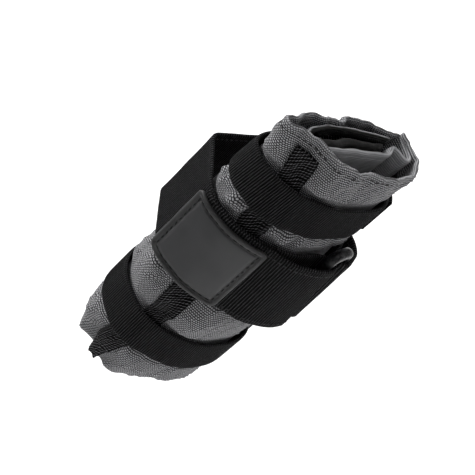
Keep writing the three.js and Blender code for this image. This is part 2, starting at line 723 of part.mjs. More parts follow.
// Plastic ring: two bars along the roll joined by two end pieces, round all over
function bandRing() {
  const reach = bandHalf + RING_SIDE_PLAY + RING_BAR_DIAMETER / 2;
  const front = bandFrame(bandPlaces[0]);
  const rear = bandFrame(bandPlaces[2]);
  const stretched = (name, sign) => {
    const low = new THREE.Vector3(bandPlaces[0], front[name].x, front[name].y);
    const high = new THREE.Vector3(bandPlaces[2], rear[name].x, rear[name].y);
    return low.lerp(high, 0.5 + (sign * reach) / BAND_WIDTH);
  };
  const corners = [stretched('nearBar', -1), stretched('nearBar', 1), stretched('farBar', 1), stretched('farBar', -1)];
  const bend = RING_BAR_DIAMETER * 0.55;
  const middles = [];
  corners.forEach((corner, i) => {
    const before = corners[(i + 3) % 4].clone().sub(corner).setLength(bend);
    const after = corners[(i + 1) % 4].clone().sub(corner).setLength(bend);
    for (const share of [0, 0.5, 1]) {
      const curve = new THREE.QuadraticBezierCurve3(corner.clone().add(before), corner, corner.clone().add(after));
      middles.push(curve.getPoint(share));
    }
  });
  const flat = corners[1].clone().sub(corners[0]).cross(corners[3].clone().sub(corners[0])).normalize();
  const sides = 10;
  const positions = [];
  middles.forEach((middle, i) => {
    const tangent = middles[(i + 1) % middles.length].clone().sub(middles[(i + middles.length - 1) % middles.length]);
    const outward = tangent.normalize().cross(flat).normalize();
    for (let k = 0; k < sides; k += 1) {
      const angle = (2 * Math.PI * k) / sides;
      const radius = RING_BAR_DIAMETER / 2;
      const point = middle
        .clone()
        .addScaledVector(outward, radius * Math.cos(angle))
        .addScaledVector(flat, radius * Math.sin(angle));
      positions.push(point.x, point.y, point.z);
    }
  });
  const faces = [];
  middles.forEach((_, i) => {
    const next = (i + 1) % middles.length;
    for (let k = 0; k < sides; k += 1) {
      const turn = (k + 1) % sides;
      faces.push(i * sides + k, next * sides + k, next * sides + turn);
      faces.push(i * sides + k, next * sides + turn, i * sides + turn);
    }
  });
  return solidFrom(positions, faces);
}

// Materials
const cloth = (color, roughness) => new THREE.MeshStandardMaterial({ color, roughness, metalness: 0 });
const greyFabric = cloth(0x5a5b5e, 0.85);
const blackWebbing = cloth(0x17171a, 0.8);
const darkLining = cloth(0x2a2a29, 0.7);
const blackPlastic = cloth(0x202022, 0.35);
const blackRubber = cloth(0x2b2b2e, 0.55);

const roll = new THREE.Group();
function place(name, geometry, material) {
  const mesh = new THREE.Mesh(geometry, material);
  mesh.name = name;
  roll.add(mesh);
}
place('roll_panel', rollPanel(), greyFabric);
place('pocket_panel', pocketPanel(), blackWebbing);
place('pocket_binding', pocketBinding(), blackWebbing);
place('inner_flap', innerFlap(), darkLining);
place('spine_webbing', spineWebbing(), blackWebbing);
place('front_strap', cinchStrap(FRONT_STRAP_AT), blackWebbing);
place('rear_strap', cinchStrap(REAR_STRAP_AT), blackWebbing);
place('saddle_band', saddleBand(), blackWebbing);
place('band_ring', bandRing(), blackPlastic);
place('rubber_patch', rubberPatch(), blackRubber);

// The band's inner face at the middle of its flat top goes to the origin, with the roll's front end low
const hangingPoint = new THREE.Vector3(BAND_AT, RAIL_OFFSET, RAIL_RISE + RAIL_DIAMETER / 2 + CLEARANCE);
roll.rotation.y = -radians(ROLL_TILT_DEG);
roll.position.copy(hangingPoint.applyEuler(roll.rotation).negate());

const bag = new THREE.Group();
bag.add(roll);
export default bag;
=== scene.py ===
import math

import bpy
import numpy as np
from bpy.props import FloatProperty, FloatVectorProperty, PointerProperty
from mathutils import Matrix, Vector, noise


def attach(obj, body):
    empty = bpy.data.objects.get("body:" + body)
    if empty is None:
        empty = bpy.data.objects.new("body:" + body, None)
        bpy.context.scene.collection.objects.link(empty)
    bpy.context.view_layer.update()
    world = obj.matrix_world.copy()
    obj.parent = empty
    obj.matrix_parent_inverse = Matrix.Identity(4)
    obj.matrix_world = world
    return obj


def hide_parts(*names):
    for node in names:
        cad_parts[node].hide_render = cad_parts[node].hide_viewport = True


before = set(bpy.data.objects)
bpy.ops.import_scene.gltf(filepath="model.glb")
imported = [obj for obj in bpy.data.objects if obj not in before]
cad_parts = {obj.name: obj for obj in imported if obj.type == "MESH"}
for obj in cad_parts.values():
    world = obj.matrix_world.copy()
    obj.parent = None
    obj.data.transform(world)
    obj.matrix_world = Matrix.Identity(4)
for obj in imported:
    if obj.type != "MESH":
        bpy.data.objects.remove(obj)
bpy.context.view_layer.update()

bl_info = {
    "name": "Bicycle tool roll bag",
    "version": (1, 0, 0),
    "blender": (4, 5, 0),
    "location": "3D View > Sidebar > Tool Roll",
    "description": "Makes a rolled fabric tool bag with its straps, wide band, ring, patch and pockets",
    "category": "Object",
}

# The roll's own frame, in millimetres: x along the roll from its front end, y across it, z up from its belly.
# It hangs tilted, and the origin of the scene is the middle of the band's flat top, on its inner face.
ROLL_TILT = math.radians(31.4)
LAYER_GAP = 0.9
CLEARANCE = 0.3
STRAP_GAP = 0.65
FRONT_STRAP_AT = 32.0
REAR_STRAP_AT = 132.6
BAND_AT = 91.3
FREE_EDGE_DEG = 3.0
OUTER_TURN = 0.995
STRAP_END_DEG = 352.0
STRAP_OVERLAP = 15.0
STRAP_RIB_PITCH = 1.05
NEAR_BAR_DEG = 300.0
PATCH_TOP_DEG = 170.5
PATCH_OVERHANG = 1.5
CORNER_DIAMETER = 7.0
CORNER_SPACING = 44.0
CORNER_RISE = 35.4
CORNER_OFFSET = 6.0
RING_STAND_OFF = 0.8
RING_SLOT = 6.4
RING_SIDE_PLAY = 1.0
BAND_ANCHOR_LENGTH = 16.0
BAND_SETTLE_LENGTH = 34.0
POCKET_INSET = 3.4
POCKET_DEPTH = 105.0
POCKET_FROM = 0.66
POCKET_TO = 0.98
POCKET_THICKNESS = 1.1
FLAP_DEPTH = 70.0
FLAP_THICKNESS = 1.2
FLAP_FULLNESS = 3.8
FLAP_WAVES = 1.1
POCKET_WAVES = 0.14
BINDING_DIAMETER = 2.4
SPINE_WIDTH = 12.0
SPINE_THICKNESS = 1.2
SPINE_REAR_MARGIN = 3.5
SPINE_TURN_IN = 8.0
SPINE_WAISTS = ((47.0, 7.0, 0.2), (146.0, 5.0, 0.1))
TURN_LENGTH = 190.0
HEM_MARGIN = 2.6
HEM_WIDTH = 10.0
RIM_WAVES_FROM = 146.0
RIM_WAVES_REACH = 15.0
RING_BEND = 0.55
FINE_STEPS = 240
OUTLINE_STEPS = 288
BAR_TURN_STEPS = 28

# Outline of the roll at each section: left and right are shares of its width, top, bottom and belt of its
# height; the last four columns say how square each corner is, 2 being an ellipse
SECTION_COLUMNS = ("left", "right", "top", "bottom", "belt", "low_left", "high_left", "high_right",
                   "low_right")
SECTIONS = (
    (0.0, (0.49, 0.42, 0.42, 0.38, 0.12, 1.8, 2.2, 2.3, 2.3)),
    (9.24, (0.5, 0.46, 0.5, 0.455, 0.11, 1.75, 2.3, 2.3, 2.5)),
    (22.0, (0.455, 0.46, 0.535, 0.425, 0.1, 1.7, 2.3, 2.3, 2.8)),
    (42.0, (0.44, 0.47, 0.545, 0.41, 0.1, 1.7, 2.3, 2.3, 3.0)),
    (56.15, (0.495, 0.495, 0.57, 0.44, 0.1, 1.85, 2.3, 2.3, 3.0)),
    (70.3, (0.475, 0.485, 0.55, 0.385, 0.11, 1.45, 2.3, 2.3, 3.2)),
    (112.3, (0.46, 0.485, 0.49, 0.325, 0.13, 1.42, 2.5, 2.4, 3.6)),
    (122.6, (0.445, 0.48, 0.42, 0.3, 0.13, 1.55, 2.8, 2.5, 3.8)),
    (142.6, (0.45, 0.485, 0.345, 0.29, 0.145, 1.5, 3.4, 2.6, 4.0)),
    (161.0, (0.5, 0.525, 0.29, 0.29, 0.145, 1.5, 4.0, 2.7, 4.2)),
)
STATIONS = (0.0, 4.62, 9.24, 22.0, 42.0, 56.15, 70.3, 91.3, 112.3, 122.6, 142.6, 151.8, 161.0)

# Creases pressed into the outside: end, distance from it, direction, depth, reach along, spread round
CREASES = (
    (0.0, 176.0, 3.6, 15.0, 22.0),
    (0.0, 262.0, 2.0, 10.0, 24.0),
    (161.0, 238.0, 2.0, 9.0, 18.0),
    (161.0, 96.0, 1.6, 12.0, 24.0),
)

# Deep notches that the folds leave in the outside: distance along the roll, distance from the spine's middle
# round the roll towards the belly, depth, reach along, reach round
NOTCHES = (
    (0.0, -9.5, 2.6, 9.0, 4.5),
    (0.0, 8.5, 6.0, 13.0, 5.0),
    (161.0, 9.0, 3.4, 11.0, 4.5),
    (161.0, -10.0, 2.4, 9.0, 4.5),
    (152.0, 27.0, 1.8, 12.0, 5.0),
    (161.0, -34.0, 2.0, 12.0, 6.0),
)

# Weights of the kinds of soft fold, beside pleats at 1, and the stronger pleats between band and rear strap
SLACK = 0.95
DRAG = 0.35
CRUMPLE = 0.13
GULLY = 0.9
EXTRA_PLEATS = 0.6
EXTRA_PLEATS_AT = 117.5

# The panel's way inside its own outer turn: across from the middle, up from the underside, as shares
INNER_ROUTE = (
    (1, 0.45), (0.985, 0.36), (0.945, 0.3), (0.895, 0.28), (0.85, 0.31), (0.822, 0.39), (0.8, 0.47),
    (0.765, 0.53), (0.715, 0.54), (0.66, 0.475), (0.57, 0.4), (0.4, 0.385), (0.1, 0.41), (-0.24, 0.42),
    (-0.51, 0.44), (-0.7, 0.51), (-0.79, 0.66), (-0.71, 0.81), (-0.5, 0.9), (-0.26, 0.95), (0, 0.945),
    (0.26, 0.9), (0.53, 0.83), (0.79, 0.76),
)
FLAP_ROUTE = ((0.64, 0.65), (0.4, 0.62), (0.1, 0.66), (-0.24, 0.64), (-0.5, 0.62), (-0.66, 0.65))

# How far the panel's rim stands out past each end, by the turns of the spiral so far
REAR_EDGE = ((0, 0), (0.12, 1.2), (0.34, -0.4), (0.46, 3), (0.56, 2), (0.7, 0), (1, -0.8), (1.3, 1),
             (1.55, 0.4), (1.75, -1.2), (2, -1))
FRONT_EDGE = ((0, 0), (0.2, 0.6), (0.34, 0), (0.46, 1.5), (0.56, 5), (0.64, 4), (0.76, 0), (2, -3))
SPINE_LINE = ((0, 193), (32, 207), (52, 212), (91.3, 214), (132.6, 211), (161, 203))


# The photograph's camera, the lights as (name, place, size, setting with the power, aim), and the backdrop's
# profile as (distance from the middle, height over the floor)
CAMERA_PLACE = (0.4300, -0.3763, -0.03196)
CAMERA_AIM = (-0.7497, 0.6618, 0.0)
LIGHTS = (
    ("key_light", (-0.16, -0.42, 0.60), 0.16, "key_power", (0.0, 0, -0.04)),
    ("fill_light", (0.62, 0.08, 0.30), 0.5, "fill_power", (0.03, 0, -0.02)),
    ("back_light", (-0.35, 0.45, 0.35), 0.5, "fill_power", (0, 0, -0.03)),
    ("backdrop_light", (-0.35, 0.32, 1.25), 1.2, "backdrop_power", (-1.75, 1.55, -0.1)),
)
BACKDROP = ((0.0, 0.0), (0.6, 0.0), (1.4, 0.0), (1.9, 0.04), (2.2, 0.2), (2.35, 0.5), (2.4, 0.9), (2.4, 2.4))

# Settings

class RollSizes(bpy.types.PropertyGroup):
    """Sizes of the rolled panel, its straps, its band and its patch"""
    roll_length: FloatProperty(name="Roll length", description="Length of the roll", default=0.161,
                               min=0.1, max=0.4, unit="LENGTH")
    roll_width: FloatProperty(name="Roll width", description="Width across the roll", default=0.067,
                              min=0.03, max=0.2, unit="LENGTH")
    roll_height: FloatProperty(name="Roll height", description="Height of the roll", default=0.055,
                               min=0.03, max=0.2, unit="LENGTH")
    panel_thickness: FloatProperty(name="Panel thickness", description="Thickness of the lined panel",
                                   default=0.0022, min=0.001, max=0.004, unit="LENGTH")
    strap_width: FloatProperty(name="Strap width", description="Width of both cinch straps", default=0.020,
                               min=0.01, max=0.04, unit="LENGTH")
    strap_thickness: FloatProperty(name="Strap thickness", description="Thickness of both cinch straps",
                                   default=0.0015, min=0.001, max=0.003, unit="LENGTH")
    band_width: FloatProperty(name="Band width", description="Width of the wide band", default=0.042,
                              min=0.02, max=0.06, unit="LENGTH")
    band_thickness: FloatProperty(name="Band thickness", description="Thickness of the wide band",
                                  default=0.0016, min=0.001, max=0.003, unit="LENGTH")
    patch_length: FloatProperty(name="Patch length", description="Length of the patch along the band",
                                default=0.0345, min=0.02, max=0.05, unit="LENGTH")
    patch_width: FloatProperty(name="Patch width", description="Width of the patch across the band",
                               default=0.039, min=0.02, max=0.042, unit="LENGTH")
    patch_thickness: FloatProperty(name="Patch thickness", description="Thickness of the rubber patch",
                                   default=0.0018, min=0.001, max=0.003, unit="LENGTH")
    ring_bar: FloatProperty(name="Ring bar", description="Diameter of the plastic ring's bars", default=0.005,
                            min=0.003, max=0.008, unit="LENGTH")


class FabricLook(bpy.types.PropertyGroup):
    """Weave, ribs, folds and colours of the fabrics"""
    weave_pitch: FloatProperty(name="Weave pitch", description="Distance between threads of the grey weave",
                               default=0.00092, min=0.0003, max=0.003, precision=5, unit="LENGTH")
    rib_pitch: FloatProperty(name="Rib pitch", description="Distance between the ribs of the webbing",
                             default=0.0013, min=0.0005, max=0.003, precision=5, unit="LENGTH")
    rib_depth: FloatProperty(name="Rib depth", description="How far a rib of the webbing stands out",
                             default=0.00012, min=0.0, max=0.0005, precision=5, unit="LENGTH")
    fold_depth: FloatProperty(name="Fold depth", description="Height of the soft folds between the straps",
                              default=0.0022, min=0.0, max=0.003, precision=5, unit="LENGTH")
    light_thread: FloatVectorProperty(name="Light thread", description="Light thread of the grey weave",
                                      subtype="COLOR", default=(0.40, 0.40, 0.415), min=0, max=1)
    dark_thread: FloatVectorProperty(name="Dark thread", description="Dark ground of the grey weave",
                                     subtype="COLOR", default=(0.014, 0.014, 0.015), min=0, max=1)
    webbing: FloatVectorProperty(name="Webbing", description="Straps, band and spine", subtype="COLOR",
                                 default=(0.0078, 0.0078, 0.0082), min=0, max=1)
    lining: FloatVectorProperty(name="Lining", description="Cloth inside the roll", subtype="COLOR",
                                default=(0.020, 0.0195, 0.0185), min=0, max=1)
    plastic: FloatVectorProperty(name="Plastic", description="The ring", subtype="COLOR",
                                 default=(0.0035, 0.0035, 0.0038), min=0, max=1)
    rubber: FloatVectorProperty(name="Rubber", description="The patch", subtype="COLOR",
                                default=(0.0122, 0.0122, 0.0132), min=0, max=1)


class StitchLook(bpy.types.PropertyGroup):
    """Stitches of the hems, the webbing and the patch"""
    length: FloatProperty(name="Stitch length", description="Length of one stitch", default=0.0019,
                          min=0.001, max=0.005, precision=4, unit="LENGTH")
    spacing: FloatProperty(name="Stitch spacing", description="Distance from one stitch to the next",
                           default=0.0027, min=0.001, max=0.008, precision=4, unit="LENGTH")
    thread: FloatProperty(name="Thread", description="Diameter of the sewing thread", default=0.00045,
                          min=0.0002, max=0.001, precision=5, unit="LENGTH")


class StudioLook(bpy.types.PropertyGroup):
    """Camera, lights and floor"""
    focal_length: FloatProperty(name="Focal length", description="Focal length of the camera",
                                default=98.53, min=20, max=300, unit="CAMERA")
    key_power: FloatProperty(name="Key light", description="Power of the key light", default=7.4, min=0,
                             unit="POWER")
    fill_power: FloatProperty(name="Fill light", description="Power of the fill light", default=1.1, min=0,
                              unit="POWER")
    backdrop_power: FloatProperty(name="Backdrop light", description="Power of the light on the backdrop",
                                  default=46.0, min=0, unit="POWER")
    floor_drop: FloatProperty(name="Floor drop", description="Height of the scene's origin over the floor",
                              default=0.34, min=0.12, max=2, unit="LENGTH")


def sizes():
    return bpy.context.scene.tool_roll_sizes


def look():
    return bpy.context.scene.tool_roll_fabric


def mm(value):
    return value * 1000.0


# Shape of the roll

def smooth(x):
    """Smooth step from 0 to 1"""
    t = np.clip(x, 0.0, 1.0)
    return t * t * (3 - 2 * t)


def table(rows, place):
    """Value at a place, straight between the rows (place, value)"""
    rows = np.asarray(rows, float)
    return np.interp(place, rows[:, 0], rows[:, 1])


def placed(points):
    """Points of the roll's frame in millimetres, as points of the scene in metres"""
    points = np.asarray(points, float)
    cos, sin = math.cos(ROLL_TILT), math.sin(ROLL_TILT)
    turn = np.array([[cos, 0, -sin], [0, 1, 0], [sin, 0, cos]])
    hang = np.array([BAND_AT, CORNER_OFFSET, CORNER_RISE + CORNER_DIAMETER / 2 + CLEARANCE])
    return (points - hang) @ turn.T / 1000.0


def turned(directions):
    """Directions of the roll's frame as directions of the scene"""
    cos, sin = math.cos(ROLL_TILT), math.sin(ROLL_TILT)
    turn = np.array([[cos, 0, -sin], [0, 1, 0], [sin, 0, cos]])
    return np.asarray(directions, float) @ turn.T


def section_at(along):
    """Sizes of the roll's outline at a place along it, in millimetres"""
    value = {name: table([(row[0], row[1][k]) for row in SECTIONS], along)
             for k, name in enumerate(SECTION_COLUMNS)}
    width, height = mm(sizes().roll_width), mm(sizes().roll_height)
    return {
        "along": along,
        "left": value["left"] * width,
        "right": value["right"] * width,
        "top": value["top"] * height,
        "bottom": -value["bottom"] * height,
        "belt": value["belt"] * height,
        "corners": (value["high_right"], value["high_left"], value["low_left"], value["low_right"]),
    }


def outline_points(section, directions):
    """Outline of a section with its creases, at directions in degrees from its right side"""
    directions = np.asarray(directions, float)
    angle = np.radians(directions)
    quadrant = (np.floor((directions % 360) / 90) % 4).astype(int)
    across = np.where((quadrant == 0) | (quadrant == 3), section["right"], section["left"])
    up = np.where(quadrant < 2, section["top"] - section["belt"], section["belt"] - section["bottom"])
    power = np.asarray(section["corners"])[quadrant]
    reach = (np.abs(np.cos(angle) / across) ** power + np.abs(np.sin(angle) / up) ** power) ** (-1 / power)
    for place, direction, depth, length, spread in CREASES:
        apart = abs(section["along"] - place) / length
        aside = np.abs((directions - direction + 540) % 360 - 180) / spread
        reach = reach - depth * smooth(1 - apart) * smooth(1 - aside)
    return np.stack([reach * np.cos(angle), section["belt"] + reach * np.sin(angle)], -1)


def loop_normals(points):
    tangent = np.roll(points, -1, axis=-2) - np.roll(points, 1, axis=-2)
    tangent /= np.linalg.norm(tangent, axis=-1, keepdims=True)
    return np.stack([tangent[..., 1], -tangent[..., 0]], -1)


def even_loop(points, steps, start):
    """A closed line in even steps, from the point nearest to start"""
    ring = np.vstack([points, points[:1]])
    lengths = np.concatenate([[0], np.cumsum(np.linalg.norm(np.diff(ring, axis=0), axis=1))])
    nearest = int(np.argmin(np.linalg.norm(points - start, axis=1)))
    wanted = (lengths[nearest] + lengths[-1] * np.arange(steps) / steps) % lengths[-1]
    even = np.stack([np.interp(wanted, lengths, ring[:, k]) for k in (0, 1)], -1)
    return {"points": even, "normals": loop_normals(even), "total": lengths[-1]}


def loop_at(loop, share):
    """Point and outward normal at shares of the way round a loop"""
    count = len(loop["points"])
    place = (np.asarray(share, float) % 1.0) * count
    low = np.floor(place).astype(int) % count
    rest = (place - np.floor(place))[..., None]
    high = (low + 1) % count
    point = loop["points"][low] * (1 - rest) + loop["points"][high] * rest
    normal = loop["normals"][low] * (1 - rest) + loop["normals"][high] * rest
    return point, normal / np.linalg.norm(normal, axis=-1, keepdims=True)


def share_of_direction(loop, section, direction):
    """The share of the way round a loop that lies in a direction, seen from the section's belt"""
    shares = np.arange(len(loop["points"]) * 4) / (len(loop["points"]) * 4)
    aim = np.array([math.cos(math.radians(direction)), math.sin(math.radians(direction))])
    away = loop_at(loop, shares)[0] - np.array([0, section["belt"]])
    away /= np.linalg.norm(away, axis=1, keepdims=True)
    return shares[int(np.argmax(away @ aim))]


def outline_loop(along):
    section = section_at(along)
    dense = outline_points(section, FREE_EDGE_DEG + np.arange(1440) / 4)
    return even_loop(dense, OUTLINE_STEPS, outline_points(section, [FREE_EDGE_DEG])[0])


def smooth_between(places, values):
    """A monotone curve through values given at places, so that nothing swells past its stations"""
    x = np.asarray(places, float)
    y = np.asarray(values, float)
    step = np.diff(x).reshape(-1, *([1] * (y.ndim - 1)))
    slope = np.diff(y, axis=0) / step
    lean = np.zeros_like(y)
    first, second = 2 * step[1:] + step[:-1], step[1:] + 2 * step[:-1]
    agree = slope[:-1] * slope[1:] > 0
    with np.errstate(divide="ignore", invalid="ignore"):
        mean = (first + second) / (first / slope[:-1] + second / slope[1:])
    lean[1:-1] = np.where(agree, mean, 0)
    lean[0], lean[-1] = slope[0], slope[-1]

    def at(wanted):
        wanted = np.atleast_1d(np.asarray(wanted, float))
        k = np.clip(np.searchsorted(x, wanted, side="right") - 1, 0, len(x) - 2)
        h = step[k]
        t = np.clip((wanted - x[k]) / (x[k + 1] - x[k]), 0, 1).reshape(-1, *([1] * (y.ndim - 1)))
        return ((2 * t**3 - 3 * t**2 + 1) * y[k] + (t**3 - 2 * t**2 + t) * h * lean[k]
                + (3 * t**2 - 2 * t**3) * y[k + 1] + (t**3 - t**2) * h * lean[k + 1])
    return at


def convex_hull(points):
    ordered = sorted(map(tuple, points))

    def chain(row):
        hull = []
        for p in row:
            while len(hull) > 1 and ((hull[-1][0] - hull[-2][0]) * (p[1] - hull[-2][1])
                                     - (hull[-1][1] - hull[-2][1]) * (p[0] - hull[-2][0])) <= 0:
                hull.pop()
            hull.append(p)
        return hull[:-1]
    return np.array(chain(ordered) + chain(ordered[::-1]))


def line_normals(points):
    tangent = np.empty_like(points)
    tangent[..., 1:-1, :] = points[..., 2:, :] - points[..., :-2, :]
    tangent[..., 0, :] = points[..., 1, :] - points[..., 0, :]
    tangent[..., -1, :] = points[..., -1, :] - points[..., -2, :]
    tangent /= np.linalg.norm(tangent, axis=-1, keepdims=True)
    return np.stack([-tangent[..., 1], tangent[..., 0]], -1)


def line_lengths(points):
    return np.concatenate([[0], np.cumsum(np.linalg.norm(np.diff(points, axis=0), axis=1))])


def along_line(points, wanted, lengths=None):
    """Points of a line at wanted distances from its start"""
    lengths = line_lengths(points) if lengths is None else lengths
    return np.stack([np.interp(wanted, lengths, points[:, k]) for k in range(points.shape[1])], -1)


def spline(points, steps):
    """Even steps along a centripetal curve through points"""
    points = np.asarray(points, float)
    ends = np.vstack([2 * points[0] - points[1], points, 2 * points[-1] - points[-2]])
    out = []
    for i in range(1, len(ends) - 2):
        p = ends[i - 1:i + 3]
        knots = np.concatenate([[0], np.cumsum(np.linalg.norm(np.diff(p, axis=0), axis=1) ** 0.5)])
        for t in np.linspace(knots[1], knots[2], 24, endpoint=False):
            a = [p[k] + (p[k + 1] - p[k]) * (t - knots[k]) / (knots[k + 1] - knots[k]) for k in range(3)]
            b = [a[k] + (a[k + 1] - a[k]) * (t - knots[k]) / (knots[k + 2] - knots[k]) for k in range(2)]
            out.append(b[0] + (b[1] - b[0]) * (t - knots[1]) / (knots[2] - knots[1]))
    out.append(points[-1])
    out = np.array(out)
    lengths = line_lengths(out)
    return along_line(out, np.linspace(0, lengths[-1], steps + 1), lengths)


def inside_point(section, across_share, up_share):
    """A point of an inner route, kept clear of the outer turn's wall"""
    thickness = mm(sizes().panel_thickness)
    wall = 1.5 * thickness + LAYER_GAP
    across = across_share * ((section["right"] if across_share > 0 else section["left"]) - wall)
    low, high = section["bottom"] + wall, section["top"] - wall
    middle = np.array([0, section["belt"]])
    inward = np.array([across, low + up_share * (high - low)]) - middle
    edge = outline_points(section, [math.degrees(math.atan2(inward[1], inward[0]))])[0]
    limit = np.linalg.norm(edge - middle) - wall
    reach = np.linalg.norm(inward)
    return middle + inward * min(1.0, limit / max(reach, 1e-9))


def panel_station(along):
    """Middle line of the rolled panel at one place along the roll: the outer turn, then the inner ones"""
    loop = outline_loop(along)
    section = section_at(along)
    way = np.arange(FINE_STEPS + 1) / FINE_STEPS
    point, normal = loop_at(loop, -way * OUTER_TURN)
    thickness = mm(sizes().panel_thickness)
    tuck = (thickness + LAYER_GAP) * smooth((way - 0.8) / 0.2)
    outer = point - normal * (thickness / 2 + tuck)[:, None]
    route = [inside_point(section, *row) for row in INNER_ROUTE]
    return np.vstack([outer, spline([outer[-1], *route], FINE_STEPS)[1:]])


class RollShape:
    """Everything about the rolled panel that its straps, spine and pockets also need"""

    def __init__(self):
        self.loops = [outline_loop(along) for along in STATIONS]
        self.outline = smooth_between(STATIONS, [loop["points"] for loop in self.loops])
        self.totals = [loop["total"] for loop in self.loops]
        self.panel = smooth_between(STATIONS, [panel_station(along) for along in STATIONS])

    def ruled(self, along):
        """The outline that straps are pulled over, straight from station to station"""
        k = int(np.clip(np.searchsorted(STATIONS, along, side="right") - 1, 0, len(STATIONS) - 2))
        share = (along - STATIONS[k]) / (STATIONS[k + 1] - STATIONS[k])
        points = self.loops[k]["points"] * (1 - share) + self.loops[k + 1]["points"] * share
        return {"points": points, "normals": loop_normals(points),
                "total": self.totals[k] * (1 - share) + self.totals[k + 1] * share}

    def skin(self, along):
        """The outline as the fabric shows it"""
        points = self.outline(along)[0]
        return {"points": points, "normals": loop_normals(points),
                "total": float(np.interp(along, STATIONS, self.totals))}


def strap_edges():
    strap, band = mm(sizes().strap_width) / 2, mm(sizes().band_width) / 2
    return ((FRONT_STRAP_AT - strap, FRONT_STRAP_AT + strap), (BAND_AT - band, BAND_AT + band),
            (REAR_STRAP_AT - strap, REAR_STRAP_AT + strap))


def openness(along):
    """0 under a strap, rising to 1 a few millimetres away from it, and the distance to the nearest strap"""
    along = np.asarray(along, float)
    apart = np.full(along.shape, 1e3)
    for low, high in strap_edges():
        apart = np.minimum(apart, np.maximum(np.maximum(low - along, along - high), 0))
    return smooth(apart / 5.0), apart


SPINE_TURNS = {}


def spine_turn(along):
    """Where the middle of the spine lies, as a share of the outer turn from its free edge"""
    if not SPINE_TURNS:
        for place in STATIONS:
            loop = outline_loop(place)
            share = share_of_direction(loop, section_at(place), table(SPINE_LINE, place))
            SPINE_TURNS[place] = 1 - share
    return np.interp(along, list(SPINE_TURNS), list(SPINE_TURNS.values()))


def noise_grid(x, y, z):
    shape = np.broadcast(x, y, z).shape
    xs, ys, zs = (np.broadcast_to(v, shape).ravel() for v in (x, y, z))
    return np.array([noise.noise(Vector(p)) for p in zip(xs, ys, zs)]).reshape(shape)


def rim_waves(along, reach):
    """Height of the waves in the cloth near the open end, in millimetres"""
    near = smooth((along - RIM_WAVES_FROM) / RIM_WAVES_REACH)
    return near * 0.75 * noise_grid(reach / 8.5, along / 30.0, 61.7)


def folds(along, turn):
    """Height of the soft folds on the outer turn, in millimetres"""
    along, turn = np.broadcast_arrays(np.asarray(along, float), np.asarray(turn, float))
    reach = mm(look().fold_depth)
    w = turn * TURN_LENGTH
    free, apart = openness(along)
    # short pleats that run out from under the straps
    pleats = noise_grid(w / 6.2, along / 46.0, 3.7)
    between = 1 + EXTRA_PLEATS * np.exp(-(((along - EXTRA_PLEATS_AT) / 7.0) ** 2))
    pleats = (1 - np.abs(pleats) * 2.2) * np.exp(-apart / 7.5) * free * between
    # slack of the cloth between two straps
    slack = noise_grid(along / 22.0, w / 19.0, 11.3) * free
    # drag lines, slanting from strap to strap
    drag = noise_grid((along * 0.8 + w) / 8.5, (w * 0.6 - along) / 42.0, 21.9)
    drag = np.clip(1 - np.abs(drag) * 5.0, 0, 1) * free
    crumple = noise_grid(along / 5.5, w / 5.5, 31.1) * free
    beside = (turn - spine_turn(along)) * TURN_LENGTH
    gully = (1.3 * np.exp(-((beside + 14) / 7.5) ** 2) + 1.0 * np.exp(-((beside - 15) / 8.0) ** 2)
             - 1.5 * np.exp(-(beside / 6.5) ** 2)) * free
    height = (pleats - 0.35) + SLACK * slack + DRAG * (drag - 0.3) + CRUMPLE * crumple + GULLY * gully
    notch = np.zeros_like(height)
    for place, off, depth, long, wide in NOTCHES:
        notch += depth * np.exp(-(((along - place) / long) ** 2) - ((beside - off) / wide) ** 2)
    return reach * height - notch


# Meshes

def new_piece(name, points, faces, material, attributes=None):
    """A mesh object from points in the roll's frame, turned so that its faces point out"""
    mesh = bpy.data.meshes.new(name)
    mesh.from_pydata(placed(points).tolist(), [], [list(map(int, f)) for f in faces])
    for key, values in (attributes or {}).items():
        values = np.asarray(values, np.float32)
        kind = "FLOAT_VECTOR" if values.ndim == 2 else "FLOAT"
        layer = mesh.attributes.new(key, kind, "POINT")
        layer.data.foreach_set("vector" if kind == "FLOAT_VECTOR" else "value", values.ravel())
    mesh.materials.append(material)
    mesh.polygons.foreach_set("use_smooth", [True] * len(mesh.polygons))
    mesh.update()
    if signed_volume(mesh) < 0:
        mesh.flip_normals()
    piece = bpy.data.objects.new(name, mesh)
    bpy.context.scene.collection.objects.link(piece)
    return piece


def signed_volume(mesh):
    mesh.calc_loop_triangles()
    corners = np.empty(len(mesh.loop_triangles) * 3, np.int64)
    mesh.loop_triangles.foreach_get("vertices", corners)
    spots = np.empty(len(mesh.vertices) * 3)
    mesh.vertices.foreach_get("co", spots)
    tri = spots.reshape(-1, 3)[corners.reshape(-1, 3)]
    return float(np.einsum("ij,ij->", tri[:, 0], np.cross(tri[:, 1], tri[:, 2]))) / 6


def tube_faces(rows, ring, closed_rows=False):
    """Faces of a grid whose rows are closed rings of points; ends are capped unless the rows close too"""
    index = np.arange(rows * ring).reshape(rows, ring)
    after = np.roll(index, -1, axis=0) if closed_rows else index[1:]
    base = index if closed_rows else index[:-1]
    quads = np.stack([base, np.roll(base, -1, axis=1), np.roll(after, -1, axis=1), after], -1).reshape(-1, 4)
    faces = quads.tolist()
    if not closed_rows:
        faces.append(index[0][::-1].tolist())
        faces.append(index[-1].tolist())
    return faces


